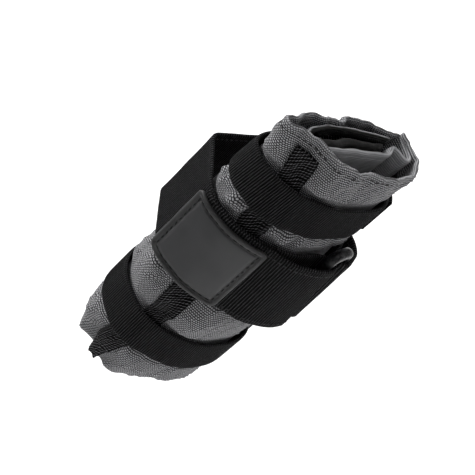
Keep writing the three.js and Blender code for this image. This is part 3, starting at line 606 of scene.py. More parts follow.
def edge_profile(half_width, half_thickness, columns, corner_steps=5, selvedge=0.0):
    """Closed cross-section of webbing: across and up from its middle, with round edges"""
    flat = np.linspace(-(half_width - half_thickness), half_width - half_thickness, columns)
    bead = selvedge * np.exp(-((np.abs(flat) - (half_width - 1.2)) / 0.55) ** 2)
    angle = np.linspace(math.pi / 2, -math.pi / 2, corner_steps + 2)[1:-1]
    right = np.stack([half_width - half_thickness + half_thickness * np.cos(angle),
                      half_thickness * np.sin(angle)], -1)
    top = np.stack([flat, half_thickness + bead], -1)
    bottom = np.stack([flat[::-1], -half_thickness - bead[::-1]], -1)
    left = -right
    return np.vstack([top, right, bottom, left])


def taut_loop(shape, along, steps, start_direction, extras=None):
    """The way of a strap pulled tight round the roll, its spine and any extra points"""
    section = section_at(along)
    outline = shape.ruled(along)
    points = outline["points"] + outline["normals"] * STRAP_GAP
    middle = share_of_direction(outline, section, table(SPINE_LINE, along))
    reach = SPINE_WIDTH / 2 / outline["total"]
    spot, normal = loop_at(outline, middle + reach * np.array([-1, -0.5, 0, 0.5, 1]))
    points = np.vstack([points, spot + normal * (STRAP_GAP + CLEARANCE + SPINE_THICKNESS)])
    if extras is not None:
        points = np.vstack([points, extras])
    hull = convex_hull(points)
    dense = even_loop(hull, 864, hull[0])
    start = loop_at(dense, share_of_direction(dense, section, start_direction))[0]
    return even_loop(dense["points"], steps, start)


def softened(points, reach):
    """A line with its small corners eased, both ends kept"""
    out = points.copy()
    for _ in range(reach):
        out[1:-1] = (out[:-2] + 2 * out[1:-1] + out[2:]) / 4
    return out


def ribbon(name, places, lines, half_width, thickness, step, columns, material, seed, edge_wander=0.15):
    """Webbing along lines that are given at some places along the roll"""
    count = max(8, int(round(line_lengths(lines[0])[-1] / step)))
    rows = []
    for line in lines:
        lengths = line_lengths(line)
        rows.append(along_line(line, np.linspace(0, lengths[-1], count + 1), lengths))
    rows = np.array([softened(row, 10) for row in rows])
    normals = line_normals(rows)
    profile = edge_profile(half_width, thickness / 2, columns, selvedge=0.08)
    middle = (places[0] + places[-1]) / 2
    reach = np.linspace(0, line_lengths(rows[len(rows) // 2])[-1], count + 1)
    wander = edge_wander * noise_grid(reach / 9.0, seed * 1.7, 0.5)
    points, cloth, ribs = [], [], []
    for across, up in profile:
        place = np.clip(middle + across, places[0], places[-1])
        k = min(len(places) - 2, max(0, int(np.searchsorted(places, place, side="right")) - 1))
        share = (place - places[k]) / (places[k + 1] - places[k])
        line = rows[k] * (1 - share) + rows[k + 1] * share
        normal = normals[k] * (1 - share) + normals[k + 1] * share
        side = across / half_width
        bite = -0.12 * abs(side) ** 6
        spot = line + normal * (up + bite)
        points.append(np.column_stack([middle + across + wander * side, spot]))
        cloth.append(np.column_stack([reach / 1000, np.full(count + 1, across / 1000), np.zeros(count + 1)]))
        ribs.append(np.full(count + 1, float(smooth((half_width - 0.9 - abs(across)) / 0.8))))
    points = np.stack(points, 1).reshape(-1, 3)
    return new_piece(name, points, tube_faces(count + 1, len(profile)), material,
                     {"cloth": np.stack(cloth, 1).reshape(-1, 3), "rib": np.stack(ribs, 1).ravel()})


# Geometry node trees

def new_tree(name, inputs):
    tree = bpy.data.node_groups.new(name, "GeometryNodeTree")
    tree.interface.new_socket("Geometry", in_out="INPUT", socket_type="NodeSocketGeometry")
    for label, kind, default in inputs:
        socket = tree.interface.new_socket(label, in_out="INPUT", socket_type=kind)
        if default is not None:
            socket.default_value = default
    tree.interface.new_socket("Geometry", in_out="OUTPUT", socket_type="NodeSocketGeometry")
    return tree, tree.nodes.new("NodeGroupInput"), tree.nodes.new("NodeGroupOutput")


def wire(tree, *pairs):
    for start, end in pairs:
        tree.links.new(start, end)


def calc(tree, operation, first, second=None):
    """A Math node on numbers or sockets, and its result"""
    node = tree.nodes.new("ShaderNodeMath")
    node.operation = operation
    for socket, value in zip(node.inputs, (first, second)):
        if value is None:
            continue
        if isinstance(value, (int, float)):
            socket.default_value = value
        else:
            tree.links.new(value, socket)
    return node.outputs[0]


def named(tree, label, kind="FLOAT"):
    node = tree.nodes.new("GeometryNodeInputNamedAttribute")
    node.data_type = kind
    node.inputs["Name"].default_value = label
    return node.outputs["Attribute"]


def finish_tree(tree, geometry, inlet, outlet):
    real = tree.nodes.new("GeometryNodeRealizeInstances")
    paint = tree.nodes.new("GeometryNodeSetMaterial")
    wire(tree, (geometry, real.inputs["Geometry"]), (real.outputs["Geometry"], paint.inputs["Geometry"]),
         (inlet.outputs["Material"], paint.inputs["Material"]),
         (paint.outputs["Geometry"], outlet.inputs["Geometry"]))


def rib_tree():
    """Raises ribs across a length of webbing, from its own length and rib attributes"""
    if "webbing_ribs" in bpy.data.node_groups:
        return bpy.data.node_groups["webbing_ribs"]
    tree, inlet, outlet = new_tree("webbing_ribs", (
        ("Pitch", "NodeSocketFloat", 0.0013), ("Depth", "NodeSocketFloat", 0.00012),
        ("Material", "NodeSocketMaterial", None)))
    cut = tree.nodes.new("ShaderNodeSeparateXYZ")
    normal = tree.nodes.new("GeometryNodeInputNormal")
    scale = tree.nodes.new("ShaderNodeVectorMath")
    scale.operation = "SCALE"
    move = tree.nodes.new("GeometryNodeSetPosition")
    turns = calc(tree, "DIVIDE", cut.outputs["X"], inlet.outputs["Pitch"])
    wave = calc(tree, "SINE", calc(tree, "MULTIPLY", turns, 2 * math.pi))
    height = calc(tree, "MULTIPLY", calc(tree, "MULTIPLY", wave, inlet.outputs["Depth"]), named(tree, "rib"))
    wire(tree, (named(tree, "cloth", "FLOAT_VECTOR"), cut.inputs[0]), (normal.outputs[0], scale.inputs[0]),
         (height, scale.inputs["Scale"]), (inlet.outputs["Geometry"], move.inputs["Geometry"]),
         (scale.outputs[0], move.inputs["Offset"]))
    finish_tree(tree, move.outputs["Geometry"], inlet, outlet)
    return tree


def stitch_tree():
    """Lays one stitch on each point, along its run and standing on its lift"""
    if "stitch_row" in bpy.data.node_groups:
        return bpy.data.node_groups["stitch_row"]
    tree, inlet, outlet = new_tree("stitch_row", (
        ("Length", "NodeSocketFloat", 0.002), ("Width", "NodeSocketFloat", 0.0005),
        ("Rise", "NodeSocketFloat", 0.0004), ("Slant", "NodeSocketFloat", 0.0),
        ("Material", "NodeSocketMaterial", None)))
    bead = tree.nodes.new("GeometryNodeMeshUVSphere")
    bead.inputs["Segments"].default_value = 8
    bead.inputs["Rings"].default_value = 6
    bead.inputs["Radius"].default_value = 0.5
    vary = tree.nodes.new("FunctionNodeRandomValue")
    vary.inputs[2].default_value = 0.9
    vary.inputs[3].default_value = 1.08
    vary.inputs["Seed"].default_value = 7
    size = tree.nodes.new("ShaderNodeCombineXYZ")
    aim = tree.nodes.new("FunctionNodeAxesToRotation")
    aim.primary_axis, aim.secondary_axis = "X", "Z"
    tip = tree.nodes.new("FunctionNodeRotateRotation")
    tip.rotation_space = "LOCAL"
    slant = tree.nodes.new("FunctionNodeEulerToRotation")
    angles = tree.nodes.new("ShaderNodeCombineXYZ")
    lay = tree.nodes.new("GeometryNodeInstanceOnPoints")
    shade = tree.nodes.new("GeometryNodeSetShadeSmooth")
    wire(tree,
         (calc(tree, "MULTIPLY", inlet.outputs["Length"], vary.outputs[1]), size.inputs["X"]),
         (inlet.outputs["Width"], size.inputs["Y"]), (inlet.outputs["Rise"], size.inputs["Z"]),
         (named(tree, "run", "FLOAT_VECTOR"), aim.inputs["Primary Axis"]),
         (named(tree, "lift", "FLOAT_VECTOR"), aim.inputs["Secondary Axis"]),
         (inlet.outputs["Slant"], angles.inputs["Z"]), (angles.outputs[0], slant.inputs[0]),
         (aim.outputs[0], tip.inputs["Rotation"]), (slant.outputs[0], tip.inputs["Rotate By"]),
         (bead.outputs["Mesh"], shade.inputs["Geometry"]),
         (shade.outputs["Geometry"], lay.inputs["Instance"]),
         (inlet.outputs["Geometry"], lay.inputs["Points"]), (tip.outputs[0], lay.inputs["Rotation"]),
         (size.outputs[0], lay.inputs["Scale"]))
    finish_tree(tree, lay.outputs["Instances"], inlet, outlet)
    return tree


def grown(piece, tree, values):
    """The piece as its node tree makes it, as a plain mesh with no modifier left"""
    modifier = piece.modifiers.new(tree.name, "NODES")
    modifier.node_group = tree
    for item in tree.interface.items_tree:
        if item.in_out == "INPUT" and item.name in values:
            modifier[item.identifier] = values[item.name]
    result = piece.evaluated_get(bpy.context.evaluated_depsgraph_get())
    mesh = bpy.data.meshes.new_from_object(result)
    piece.modifiers.remove(modifier)
    old = piece.data
    piece.data = mesh
    bpy.data.meshes.remove(old)
    mesh.name = piece.name
    return piece


def ribbed(piece, pitch=None, depth=None):
    """Webbing with its ribs raised"""
    values = {"Pitch": pitch or look().rib_pitch, "Depth": look().rib_depth if depth is None else depth,
              "Material": piece.data.materials[0]}
    return grown(piece, rib_tree(), values)


def stitch_row(name, seams, material, length=None, spacing=None, width=None, rise=None, slant=0.0):
    """Stitches along seams, each a line of points and a line of normals in the roll's frame"""
    kit = bpy.context.scene.tool_roll_stitches
    length, spacing = length or kit.length, spacing or kit.spacing
    width, rise = width or kit.thread * 1.25, rise or kit.thread
    spots, runs, lifts = [], [], []
    for points, normals in seams:
        lengths = line_lengths(points)
        count = int(lengths[-1] // mm(spacing))
        wanted = (np.arange(count) + 0.5) * lengths[-1] / count
        spot = along_line(points, wanted, lengths)
        ahead = along_line(points, wanted + 0.2, lengths) - along_line(points, wanted - 0.2, lengths)
        lift = along_line(normals, wanted, lengths)
        spots.append(spot)
        runs.append(turned(ahead))
        lifts.append(turned(lift))
    spots = np.vstack(spots)
    mesh = bpy.data.meshes.new(name)
    mesh.from_pydata(placed(spots).tolist(), [], [])
    for key, values in (("run", np.vstack(runs)), ("lift", np.vstack(lifts))):
        layer = mesh.attributes.new(key, "FLOAT_VECTOR", "POINT")
        layer.data.foreach_set("vector", values.astype(np.float32).ravel())
    piece = bpy.data.objects.new(name, mesh)
    bpy.context.scene.collection.objects.link(piece)
    return grown(piece, stitch_tree(), {"Length": length, "Width": width, "Rise": rise, "Slant": slant,
                                        "Material": material})


# Materials

def new_group(name, inputs, outputs):
    tree = bpy.data.node_groups.new(name, "ShaderNodeTree")
    for label, kind, default in inputs:
        socket = tree.interface.new_socket(label, in_out="INPUT", socket_type=kind)
        if default is not None:
            socket.default_value = default
    for label, kind in outputs:
        tree.interface.new_socket(label, in_out="OUTPUT", socket_type=kind)
    return tree, tree.nodes.new("NodeGroupInput"), tree.nodes.new("NodeGroupOutput")


def mixed(tree, share, first, second):
    node = tree.nodes.new("ShaderNodeMix")
    node.data_type = "RGBA"
    for socket, value in ((node.inputs["Factor"], share), (node.inputs[6], first), (node.inputs[7], second)):
        if isinstance(value, (tuple, list)):
            socket.default_value = (*value[:3], 1)
        elif isinstance(value, (int, float)):
            socket.default_value = value
        else:
            tree.links.new(value, socket)
    return node.outputs[2]


def noised(tree, vector, scale, detail=2.0, rough=0.5):
    node = tree.nodes.new("ShaderNodeTexNoise")
    node.inputs["Scale"].default_value = scale
    node.inputs["Detail"].default_value = detail
    node.inputs["Roughness"].default_value = rough
    if vector is not None:
        tree.links.new(vector, node.inputs["Vector"])
    return node.outputs["Fac"]


def ramp(tree, value, low, high, to_low=0.0, to_high=1.0):
    node = tree.nodes.new("ShaderNodeMapRange")
    node.interpolation_type = "SMOOTHSTEP"
    for k, number in enumerate((low, high, to_low, to_high), 1):
        node.inputs[k].default_value = number
    tree.links.new(value, node.inputs[0])
    return node.outputs[0]


def weave_group():
    """Two-tone weave: dots of light thread in rows, each row half a step aside from the last"""
    if "two_tone_weave" in bpy.data.node_groups:
        return bpy.data.node_groups["two_tone_weave"]
    tree, inlet, outlet = new_group("two_tone_weave", (
        ("Cloth", "NodeSocketVector", None), ("Pitch", "NodeSocketFloat", 0.001),
        ("Rows", "NodeSocketFloat", 0.0)),
        (("Thread", "NodeSocketFloat"), ("Height", "NodeSocketFloat")))
    cut = tree.nodes.new("ShaderNodeSeparateXYZ")
    wire(tree, (inlet.outputs["Cloth"], cut.inputs[0]))
    wobble = noised(tree, inlet.outputs["Cloth"], 160.0, 2.0)
    aside = calc(tree, "MULTIPLY", calc(tree, "SUBTRACT", wobble, 0.5), 0.14)
    x = calc(tree, "ADD", calc(tree, "DIVIDE", cut.outputs["X"], inlet.outputs["Pitch"]), aside)
    y = calc(tree, "ADD", calc(tree, "DIVIDE", cut.outputs["Y"], inlet.outputs["Pitch"]), aside)
    row = calc(tree, "FLOOR", y)
    x = calc(tree, "ADD", x, calc(tree, "MULTIPLY", row, 0.5))
    dx = calc(tree, "SUBTRACT", calc(tree, "FRACT", x), 0.5)
    dy = calc(tree, "SUBTRACT", calc(tree, "FRACT", y), 0.5)
    away = calc(tree, "SQRT", calc(tree, "ADD", calc(tree, "POWER", calc(tree, "ABSOLUTE", dx), 2.0),
                                   calc(tree, "MULTIPLY", calc(tree, "POWER", calc(tree, "ABSOLUTE", dy), 2.0),
                                        1.5)))
    dot = ramp(tree, away, 0.5, 0.22)
    line = ramp(tree, calc(tree, "ABSOLUTE", dy), 0.44, 0.1)
    dot = calc(tree, "ADD", calc(tree, "MULTIPLY", dot, calc(tree, "SUBTRACT", 1.0, inlet.outputs["Rows"])),
               calc(tree, "MULTIPLY", calc(tree, "MULTIPLY", line, inlet.outputs["Rows"]), 0.66))
    spin = calc(tree, "SINE", calc(tree, "MULTIPLY",
                                   calc(tree, "ADD", dx, calc(tree, "MULTIPLY", dy, 0.6)), 38.0))
    twist = calc(tree, "ADD", calc(tree, "MULTIPLY", spin, 0.12), 0.88)
    patchy = ramp(tree, noised(tree, inlet.outputs["Cloth"], 900.0, 1.0), 0.3, 0.7, 0.72, 1.0)
    thread = calc(tree, "MULTIPLY", calc(tree, "MULTIPLY", dot, twist), patchy)
    wire(tree, (thread, outlet.inputs["Thread"]), (dot, outlet.inputs["Height"]))
    return tree


def ribs_group():
    """Yarns of black webbing: ribs across it and fine yarns along it"""
    if "webbing_yarns" in bpy.data.node_groups:
        return bpy.data.node_groups["webbing_yarns"]
    tree, inlet, outlet = new_group("webbing_yarns", (
        ("Cloth", "NodeSocketVector", None), ("Pitch", "NodeSocketFloat", 0.0013),
        ("Slant", "NodeSocketFloat", 0.0)),
        (("Shade", "NodeSocketFloat"), ("Height", "NodeSocketFloat")))
    cut = tree.nodes.new("ShaderNodeSeparateXYZ")
    wire(tree, (inlet.outputs["Cloth"], cut.inputs[0]))
    x = calc(tree, "DIVIDE", cut.outputs["X"], inlet.outputs["Pitch"])
    y = calc(tree, "DIVIDE", cut.outputs["Y"], inlet.outputs["Pitch"])
    run = calc(tree, "ADD", x, calc(tree, "MULTIPLY", y, inlet.outputs["Slant"]))
    rib = calc(tree, "SINE", calc(tree, "MULTIPLY", run, 2 * math.pi))
    yarn = calc(tree, "SINE", calc(tree, "MULTIPLY", calc(tree, "ADD", y, calc(tree, "MULTIPLY", x, 0.5)),
                                   4 * math.pi))
    height = calc(tree, "ADD", calc(tree, "MULTIPLY", rib, 0.5), calc(tree, "MULTIPLY", yarn, 0.28))
    patchy = ramp(tree, noised(tree, inlet.outputs["Cloth"], 700.0, 2.0), 0.3, 0.75, 0.55, 1.0)
    # painted highlight on the rib crests and painted shade in the grooves, with a patchy tone
    shade = calc(tree, "MULTIPLY", ramp(tree, height, 0.12, 0.8), patchy)
    wire(tree, (shade, outlet.inputs["Shade"]), (height, outlet.inputs["Height"]))
    return tree


def handling_group():
    """Large soft changes of tone from handling, the same on every fabric"""
    if "handling_marks" in bpy.data.node_groups:
        return bpy.data.node_groups["handling_marks"]
    tree, inlet, outlet = new_group("handling_marks", (
        ("Colour", "NodeSocketColor", None), ("Amount", "NodeSocketFloat", 0.3)),
        (("Colour", "NodeSocketColor"), ("Roughness", "NodeSocketFloat")))
    where = tree.nodes.new("ShaderNodeTexCoord").outputs["Object"]
    broad = noised(tree, where, 38.0, 3.0)
    fine = noised(tree, where, 260.0, 2.0)
    tone = calc(tree, "ADD", calc(tree, "MULTIPLY", broad, 0.7), calc(tree, "MULTIPLY", fine, 0.3))
    gain = tree.nodes.new("ShaderNodeVectorMath")
    gain.operation = "SCALE"
    swing = calc(tree, "MULTIPLY", calc(tree, "SUBTRACT", tone, 0.5), inlet.outputs["Amount"])
    wire(tree, (inlet.outputs["Colour"], gain.inputs[0]),
         (calc(tree, "ADD", 1.0, calc(tree, "MULTIPLY", swing, 2.0)), gain.inputs["Scale"]),
         (gain.outputs[0], outlet.inputs["Colour"]),
         (ramp(tree, tone, 0.3, 0.7, 0.74, 0.9), outlet.inputs["Roughness"]))
    return tree


def new_material(name, **constants):
    material = bpy.data.materials.new(name)
    material.use_nodes = True
    tree = material.node_tree
    shader = tree.nodes["Principled BSDF"]
    for label, value in constants.items():
        shader.inputs[label.replace("_", " ")].default_value = value
    return material, tree, shader


def group_node(tree, group, **values):
    node = tree.nodes.new("ShaderNodeGroup")
    node.node_tree = group
    for label, value in values.items():
        if isinstance(value, (int, float)):
            node.inputs[label].default_value = value
        elif isinstance(value, (tuple, list)):
            node.inputs[label].default_value = (*value[:3], 1)
        else:
            tree.links.new(value, node.inputs[label])
    return node


def bumped(tree, shader, height, distance, strength=1.0):
    bump = tree.nodes.new("ShaderNodeBump")
    bump.inputs["Distance"].default_value = distance
    bump.inputs["Strength"].default_value = strength
    wire(tree, (height, bump.inputs["Height"]), (bump.outputs["Normal"], shader.inputs["Normal"]))
    return bump


def attribute(tree, label):
    node = tree.nodes.new("ShaderNodeAttribute")
    node.attribute_name = label
    return node


def made(name):
    return bpy.data.materials.get(name)


def grey_cloth():
    """Two-tone grey cloth outside, black lining inside, paler at the rim; painted light on the second turn"""
    if made("grey_two_tone_cloth"):
        return made("grey_two_tone_cloth")
    cloth_look = look()
    material, tree, shader = new_material("grey_two_tone_cloth", Roughness=0.8, Sheen_Weight=0.04,
                                          Sheen_Roughness=0.5, Specular_IOR_Level=0.2)
    cloth = attribute(tree, "cloth").outputs["Vector"]
    weave = group_node(tree, weave_group(), Cloth=cloth, Pitch=cloth_look.weave_pitch,
                       Rows=attribute(tree, "rows").outputs["Fac"])
    threads = mixed(tree, weave.outputs["Thread"], tuple(cloth_look.dark_thread),
                    tuple(cloth_look.light_thread))
    # mixed towards pale grey at the rim and where light is painted on the second turn's outer face
    pale_edge_and_painted_light_colour = mixed(tree, calc(tree, "MULTIPLY", attribute(tree, "wear").outputs["Fac"], 0.3), threads,
                 (0.3, 0.3, 0.31))
    lining = mixed(tree, weave.outputs["Thread"], tuple(0.3 * c for c in cloth_look.lining),
                   tuple(2.2 * c for c in cloth_look.lining))
    colour = mixed(tree, attribute(tree, "lining").outputs["Fac"], pale_edge_and_painted_light_colour, lining)
    marks = group_node(tree, handling_group(), Colour=colour, Amount=0.32)
    wire(tree, (marks.outputs["Colour"], shader.inputs["Base Color"]),
         (marks.outputs["Roughness"], shader.inputs["Roughness"]))
    bumped(tree, shader, weave.outputs["Height"], 0.00028, 0.8)
    return material


def black_webbing(name="ribbed_webbing", slant=0.0, pitch=None, lift=1.0):
    if made(name):
        return made(name)
    cloth_look = look()
    base = tuple(cloth_look.webbing)
    material, tree, shader = new_material(name, Roughness=0.7, Specular_IOR_Level=0.05)
    cloth = attribute(tree, "cloth").outputs["Vector"]
    yarns = group_node(tree, ribs_group(), Cloth=cloth, Pitch=pitch or cloth_look.rib_pitch, Slant=slant)
    # near black in the grooves up to a painted highlight on the crests; lift makes the painted highlight
    # stronger
    colour = mixed(tree, yarns.outputs["Shade"], tuple(0.05 * c for c in base),
                   tuple(8.5 * lift * c for c in base))
    marks = group_node(tree, handling_group(), Colour=colour, Amount=0.4)
    wire(tree, (marks.outputs["Colour"], shader.inputs["Base Color"]),
         (marks.outputs["Roughness"], shader.inputs["Roughness"]))
    bumped(tree, shader, yarns.outputs["Height"], 0.00022, 0.9)
    return material


def pocket_twill_with_painted_light():
    # lift 4.2: a much lighter copy of the webbing, painted light for the deep shade the pocket lies in
    return black_webbing("black_twill", slant=1.0, pitch=0.0015, lift=4.2)


def flap_cloth():
    """Smooth coated cloth with a soft sheen and fine creases"""
    if made("dark_flap_cloth"):
        return made("dark_flap_cloth")
    base = tuple(look().lining)
    material, tree, shader = new_material("dark_flap_cloth", Roughness=0.5, Specular_IOR_Level=0.09)
    where = tree.nodes.new("ShaderNodeTexCoord").outputs["Object"]
    creases = noised(tree, where, 420.0, 4.0, 0.6)
    # colour follows the crease noise that also drives the bump: painted shade in the hollows, paler on the
    # ridges
    colour = mixed(tree, creases, tuple(0.2 * c for c in base), (0.0125, 0.0122, 0.0118))
    marks = group_node(tree, handling_group(), Colour=colour, Amount=0.3)
    wire(tree, (marks.outputs["Colour"], shader.inputs["Base Color"]),
         (ramp(tree, creases, 0.3, 0.7, 0.36, 0.55), shader.inputs["Roughness"]))
    bumped(tree, shader, creases, 0.0006, 0.5)
    return material


def moulded_plastic():
    if made("moulded_plastic"):
        return made("moulded_plastic")
    base = tuple(look().plastic)
    material, tree, shader = new_material("moulded_plastic", Roughness=0.3, Specular_IOR_Level=0.14)
    where = tree.nodes.new("ShaderNodeTexCoord").outputs["Object"]
    grain = noised(tree, where, 2200.0, 2.0)
    scuffs = noised(tree, where, 140.0, 5.0, 0.65)
    wire(tree, (mixed(tree, scuffs, base, tuple(2.2 * c for c in base)), shader.inputs["Base Color"]),
         (ramp(tree, scuffs, 0.35, 0.7, 0.24, 0.42), shader.inputs["Roughness"]))
    bumped(tree, shader, grain, 0.00004, 0.6)
    return material


def satin_rubber():
    if made("satin_rubber"):
        return made("satin_rubber")
    base = tuple(look().rubber)
    material, tree, shader = new_material("satin_rubber", Roughness=0.5, Specular_IOR_Level=0.3)
    where = tree.nodes.new("ShaderNodeTexCoord").outputs["Object"]
    grain = noised(tree, where, 3200.0, 2.0)
    cloudy = noised(tree, where, 90.0, 3.0)
    wear = attribute(tree, "wear").outputs["Fac"]
    colour = mixed(tree, cloudy, tuple(0.85 * c for c in base), tuple(1.3 * c for c in base))
    # painted highlight: paler along the raised border's outer top edge
    colour = mixed(tree, calc(tree, "MULTIPLY", wear, 0.25), colour, tuple(1.6 * c for c in base))
    colour = mixed(tree, calc(tree, "MULTIPLY", attribute(tree, "border").outputs["Fac"], 0.62), colour,
                   tuple(0.12 * c for c in base))
    wire(tree, (colour, shader.inputs["Base Color"]),
         (ramp(tree, cloudy, 0.3, 0.7, 0.44, 0.58), shader.inputs["Roughness"]))
    bumped(tree, shader, grain, 0.00003, 0.6)
    return material


def sewing_thread(name="sewing_thread", colour=(0.012, 0.012, 0.013)):
    if made(name):
        return made(name)
    material, tree, shader = new_material(name, Roughness=0.6, Sheen_Weight=0.02, Specular_IOR_Level=0.15)
    where = tree.nodes.new("ShaderNodeTexCoord").outputs["Object"]
    ply = noised(tree, where, 2600.0, 2.0)
    wire(tree, (mixed(tree, ply, tuple(0.5 * c for c in colour), tuple(1.9 * c for c in colour)),
                shader.inputs["Base Color"]))
    bumped(tree, shader, ply, 0.0001, 0.6)
    return material


# Operators

class MakeStage(bpy.types.Operator):
    """Camera, soft lights and a pale floor that runs up into a backdrop"""
    bl_idname = "tool_roll.stage"
    bl_label = "Stage"

    def execute(self, context):
        studio = context.scene.tool_roll_studio
        camera = bpy.data.objects.new("camera", bpy.data.cameras.new("camera"))
        context.scene.collection.objects.link(camera)
        camera.location = CAMERA_PLACE
        camera.rotation_euler = Vector(CAMERA_AIM).to_track_quat("-Z", "Y").to_euler()
        camera.data.lens = studio.focal_length
        camera.data.sensor_width = 36.0
        camera.data.clip_start = 0.01
        context.scene.camera = camera
        self.sweep(studio)
        for name, place, size, power, aim in LIGHTS:
            self.light(name, place, size, getattr(studio, power), aim)
        world = bpy.data.worlds.new("studio_light")
        world.use_nodes = True
        back = world.node_tree.nodes["Background"]
        back.inputs["Color"].default_value = (1.0, 1.0, 1.0, 1)
        back.inputs["Strength"].default_value = 0.14
        context.scene.world = world
        context.scene.view_settings.view_transform = "Standard"
        return {"FINISHED"}

    def light(self, name, place, size, power, aim):
        lamp = bpy.data.lights.new(name, "AREA")
        lamp.size = size
        lamp.energy = power
        thing = bpy.data.objects.new(name, lamp)
        bpy.context.scene.collection.objects.link(thing)
        thing.location = place
        thing.rotation_euler = (Vector(aim) - Vector(place)).to_track_quat("-Z", "Y").to_euler()

    def sweep(self, studio):
        """One sheet: a round floor with its edge turned up all round, far from the bag"""
        rows, spokes = [], 64
        for reach, up in BACKDROP:
            for k in range(spokes):
                angle = 2 * math.pi * k / spokes
                rows.append((max(reach, 0.01) * math.cos(angle), max(reach, 0.01) * math.sin(angle),
                             up - studio.floor_drop))
        faces = [[i * spokes + k, i * spokes + (k + 1) % spokes, (i + 1) * spokes + (k + 1) % spokes,
                  (i + 1) * spokes + k] for i in range(len(BACKDROP) - 1) for k in range(spokes)]
        faces.append(list(range(spokes))[::-1])
        mesh = bpy.data.meshes.new("studio_floor")
        mesh.from_pydata(rows, [], faces)
        mesh.polygons.foreach_set("use_smooth", [True] * len(mesh.polygons))
        material, tree, shader = new_material("pale_paper", Roughness=0.9, Specular_IOR_Level=0.1)
        where = tree.nodes.new("ShaderNodeTexCoord").outputs["Object"]
        wire(tree, (mixed(tree, noised(tree, where, 4.0), (0.93, 0.93, 0.93), (0.95, 0.95, 0.95)),
                    shader.inputs["Base Color"]))
        mesh.materials.append(material)
        floor = bpy.data.objects.new("studio_floor", mesh)
        bpy.context.scene.collection.objects.link(floor)


def panel_grid(shape, places, index):
    """Middle points and normals of the panel at places along the roll and places along its cloth"""
    lines = shape.panel(places)
    low = np.clip(np.floor(index).astype(int), 0, lines.shape[1] - 2)
    rest = (index - low)[None, :, None]
    grid = lines[:, low] * (1 - rest) + lines[:, low + 1] * rest
    return grid, line_normals(grid)


def rim_shift(places, turns):
    """How far each point moves along the roll, so that the rims run as REAR_EDGE and FRONT_EDGE say"""
    rear = table(REAR_EDGE, turns)[None, :] * np.clip((places - STATIONS[-2]) / 9.2, 0, 1)[:, None]
    front = table(FRONT_EDGE, turns)[None, :] * np.clip(1 - places / STATIONS[1], 0, 1)[:, None]
    return rear - front


class PanelSurface:
    """The rolled panel's middle surface with its folds, on a grid of places and cloth steps"""

    def __init__(self, shape):
        length = mm(sizes().roll_length)
        spaced = [np.arange(0, 6, 0.7), np.arange(6, 148, 1.45), np.arange(148, length, 0.62), [length]]
        self.places = np.concatenate(spaced)
        middle = shape.panel(BAND_AT)[0]
        lengths = line_lengths(middle)
        self.reach = np.linspace(0, lengths[-1], 262)
        self.index = np.interp(self.reach, lengths, np.arange(len(lengths)))
        self.turns = self.index / FINE_STEPS
        self.grid, self.normals = panel_grid(shape, self.places, self.index)
        outer = smooth((1.0 - self.turns) / 0.06)[None, :]
        height = folds(self.places[:, None], np.minimum(self.turns, 1.0)[None, :] * OUTER_TURN) * outer
        inner = 0.3 * noise_grid(self.places[:, None] / 9.0, self.reach[None, :] / 8.0, 51.0) * (1 - outer)
        near = smooth((self.places - RIM_WAVES_FROM) / RIM_WAVES_REACH)[:, None]
        rim = rim_waves(self.places[:, None], self.reach[None, :])
        self.height = height + inner + rim * np.where(self.turns < 1.0, 1.0, 0.7)[None, :]
        self.grid = self.grid + self.normals * self.height[..., None]
        self.normals = line_normals(self.grid)
        self.along = self.places[:, None] + rim_shift(self.places, self.turns)
        self.along += near * 0.5 * noise_grid(self.reach[None, :] / 5.0, 71.0, 0.0)


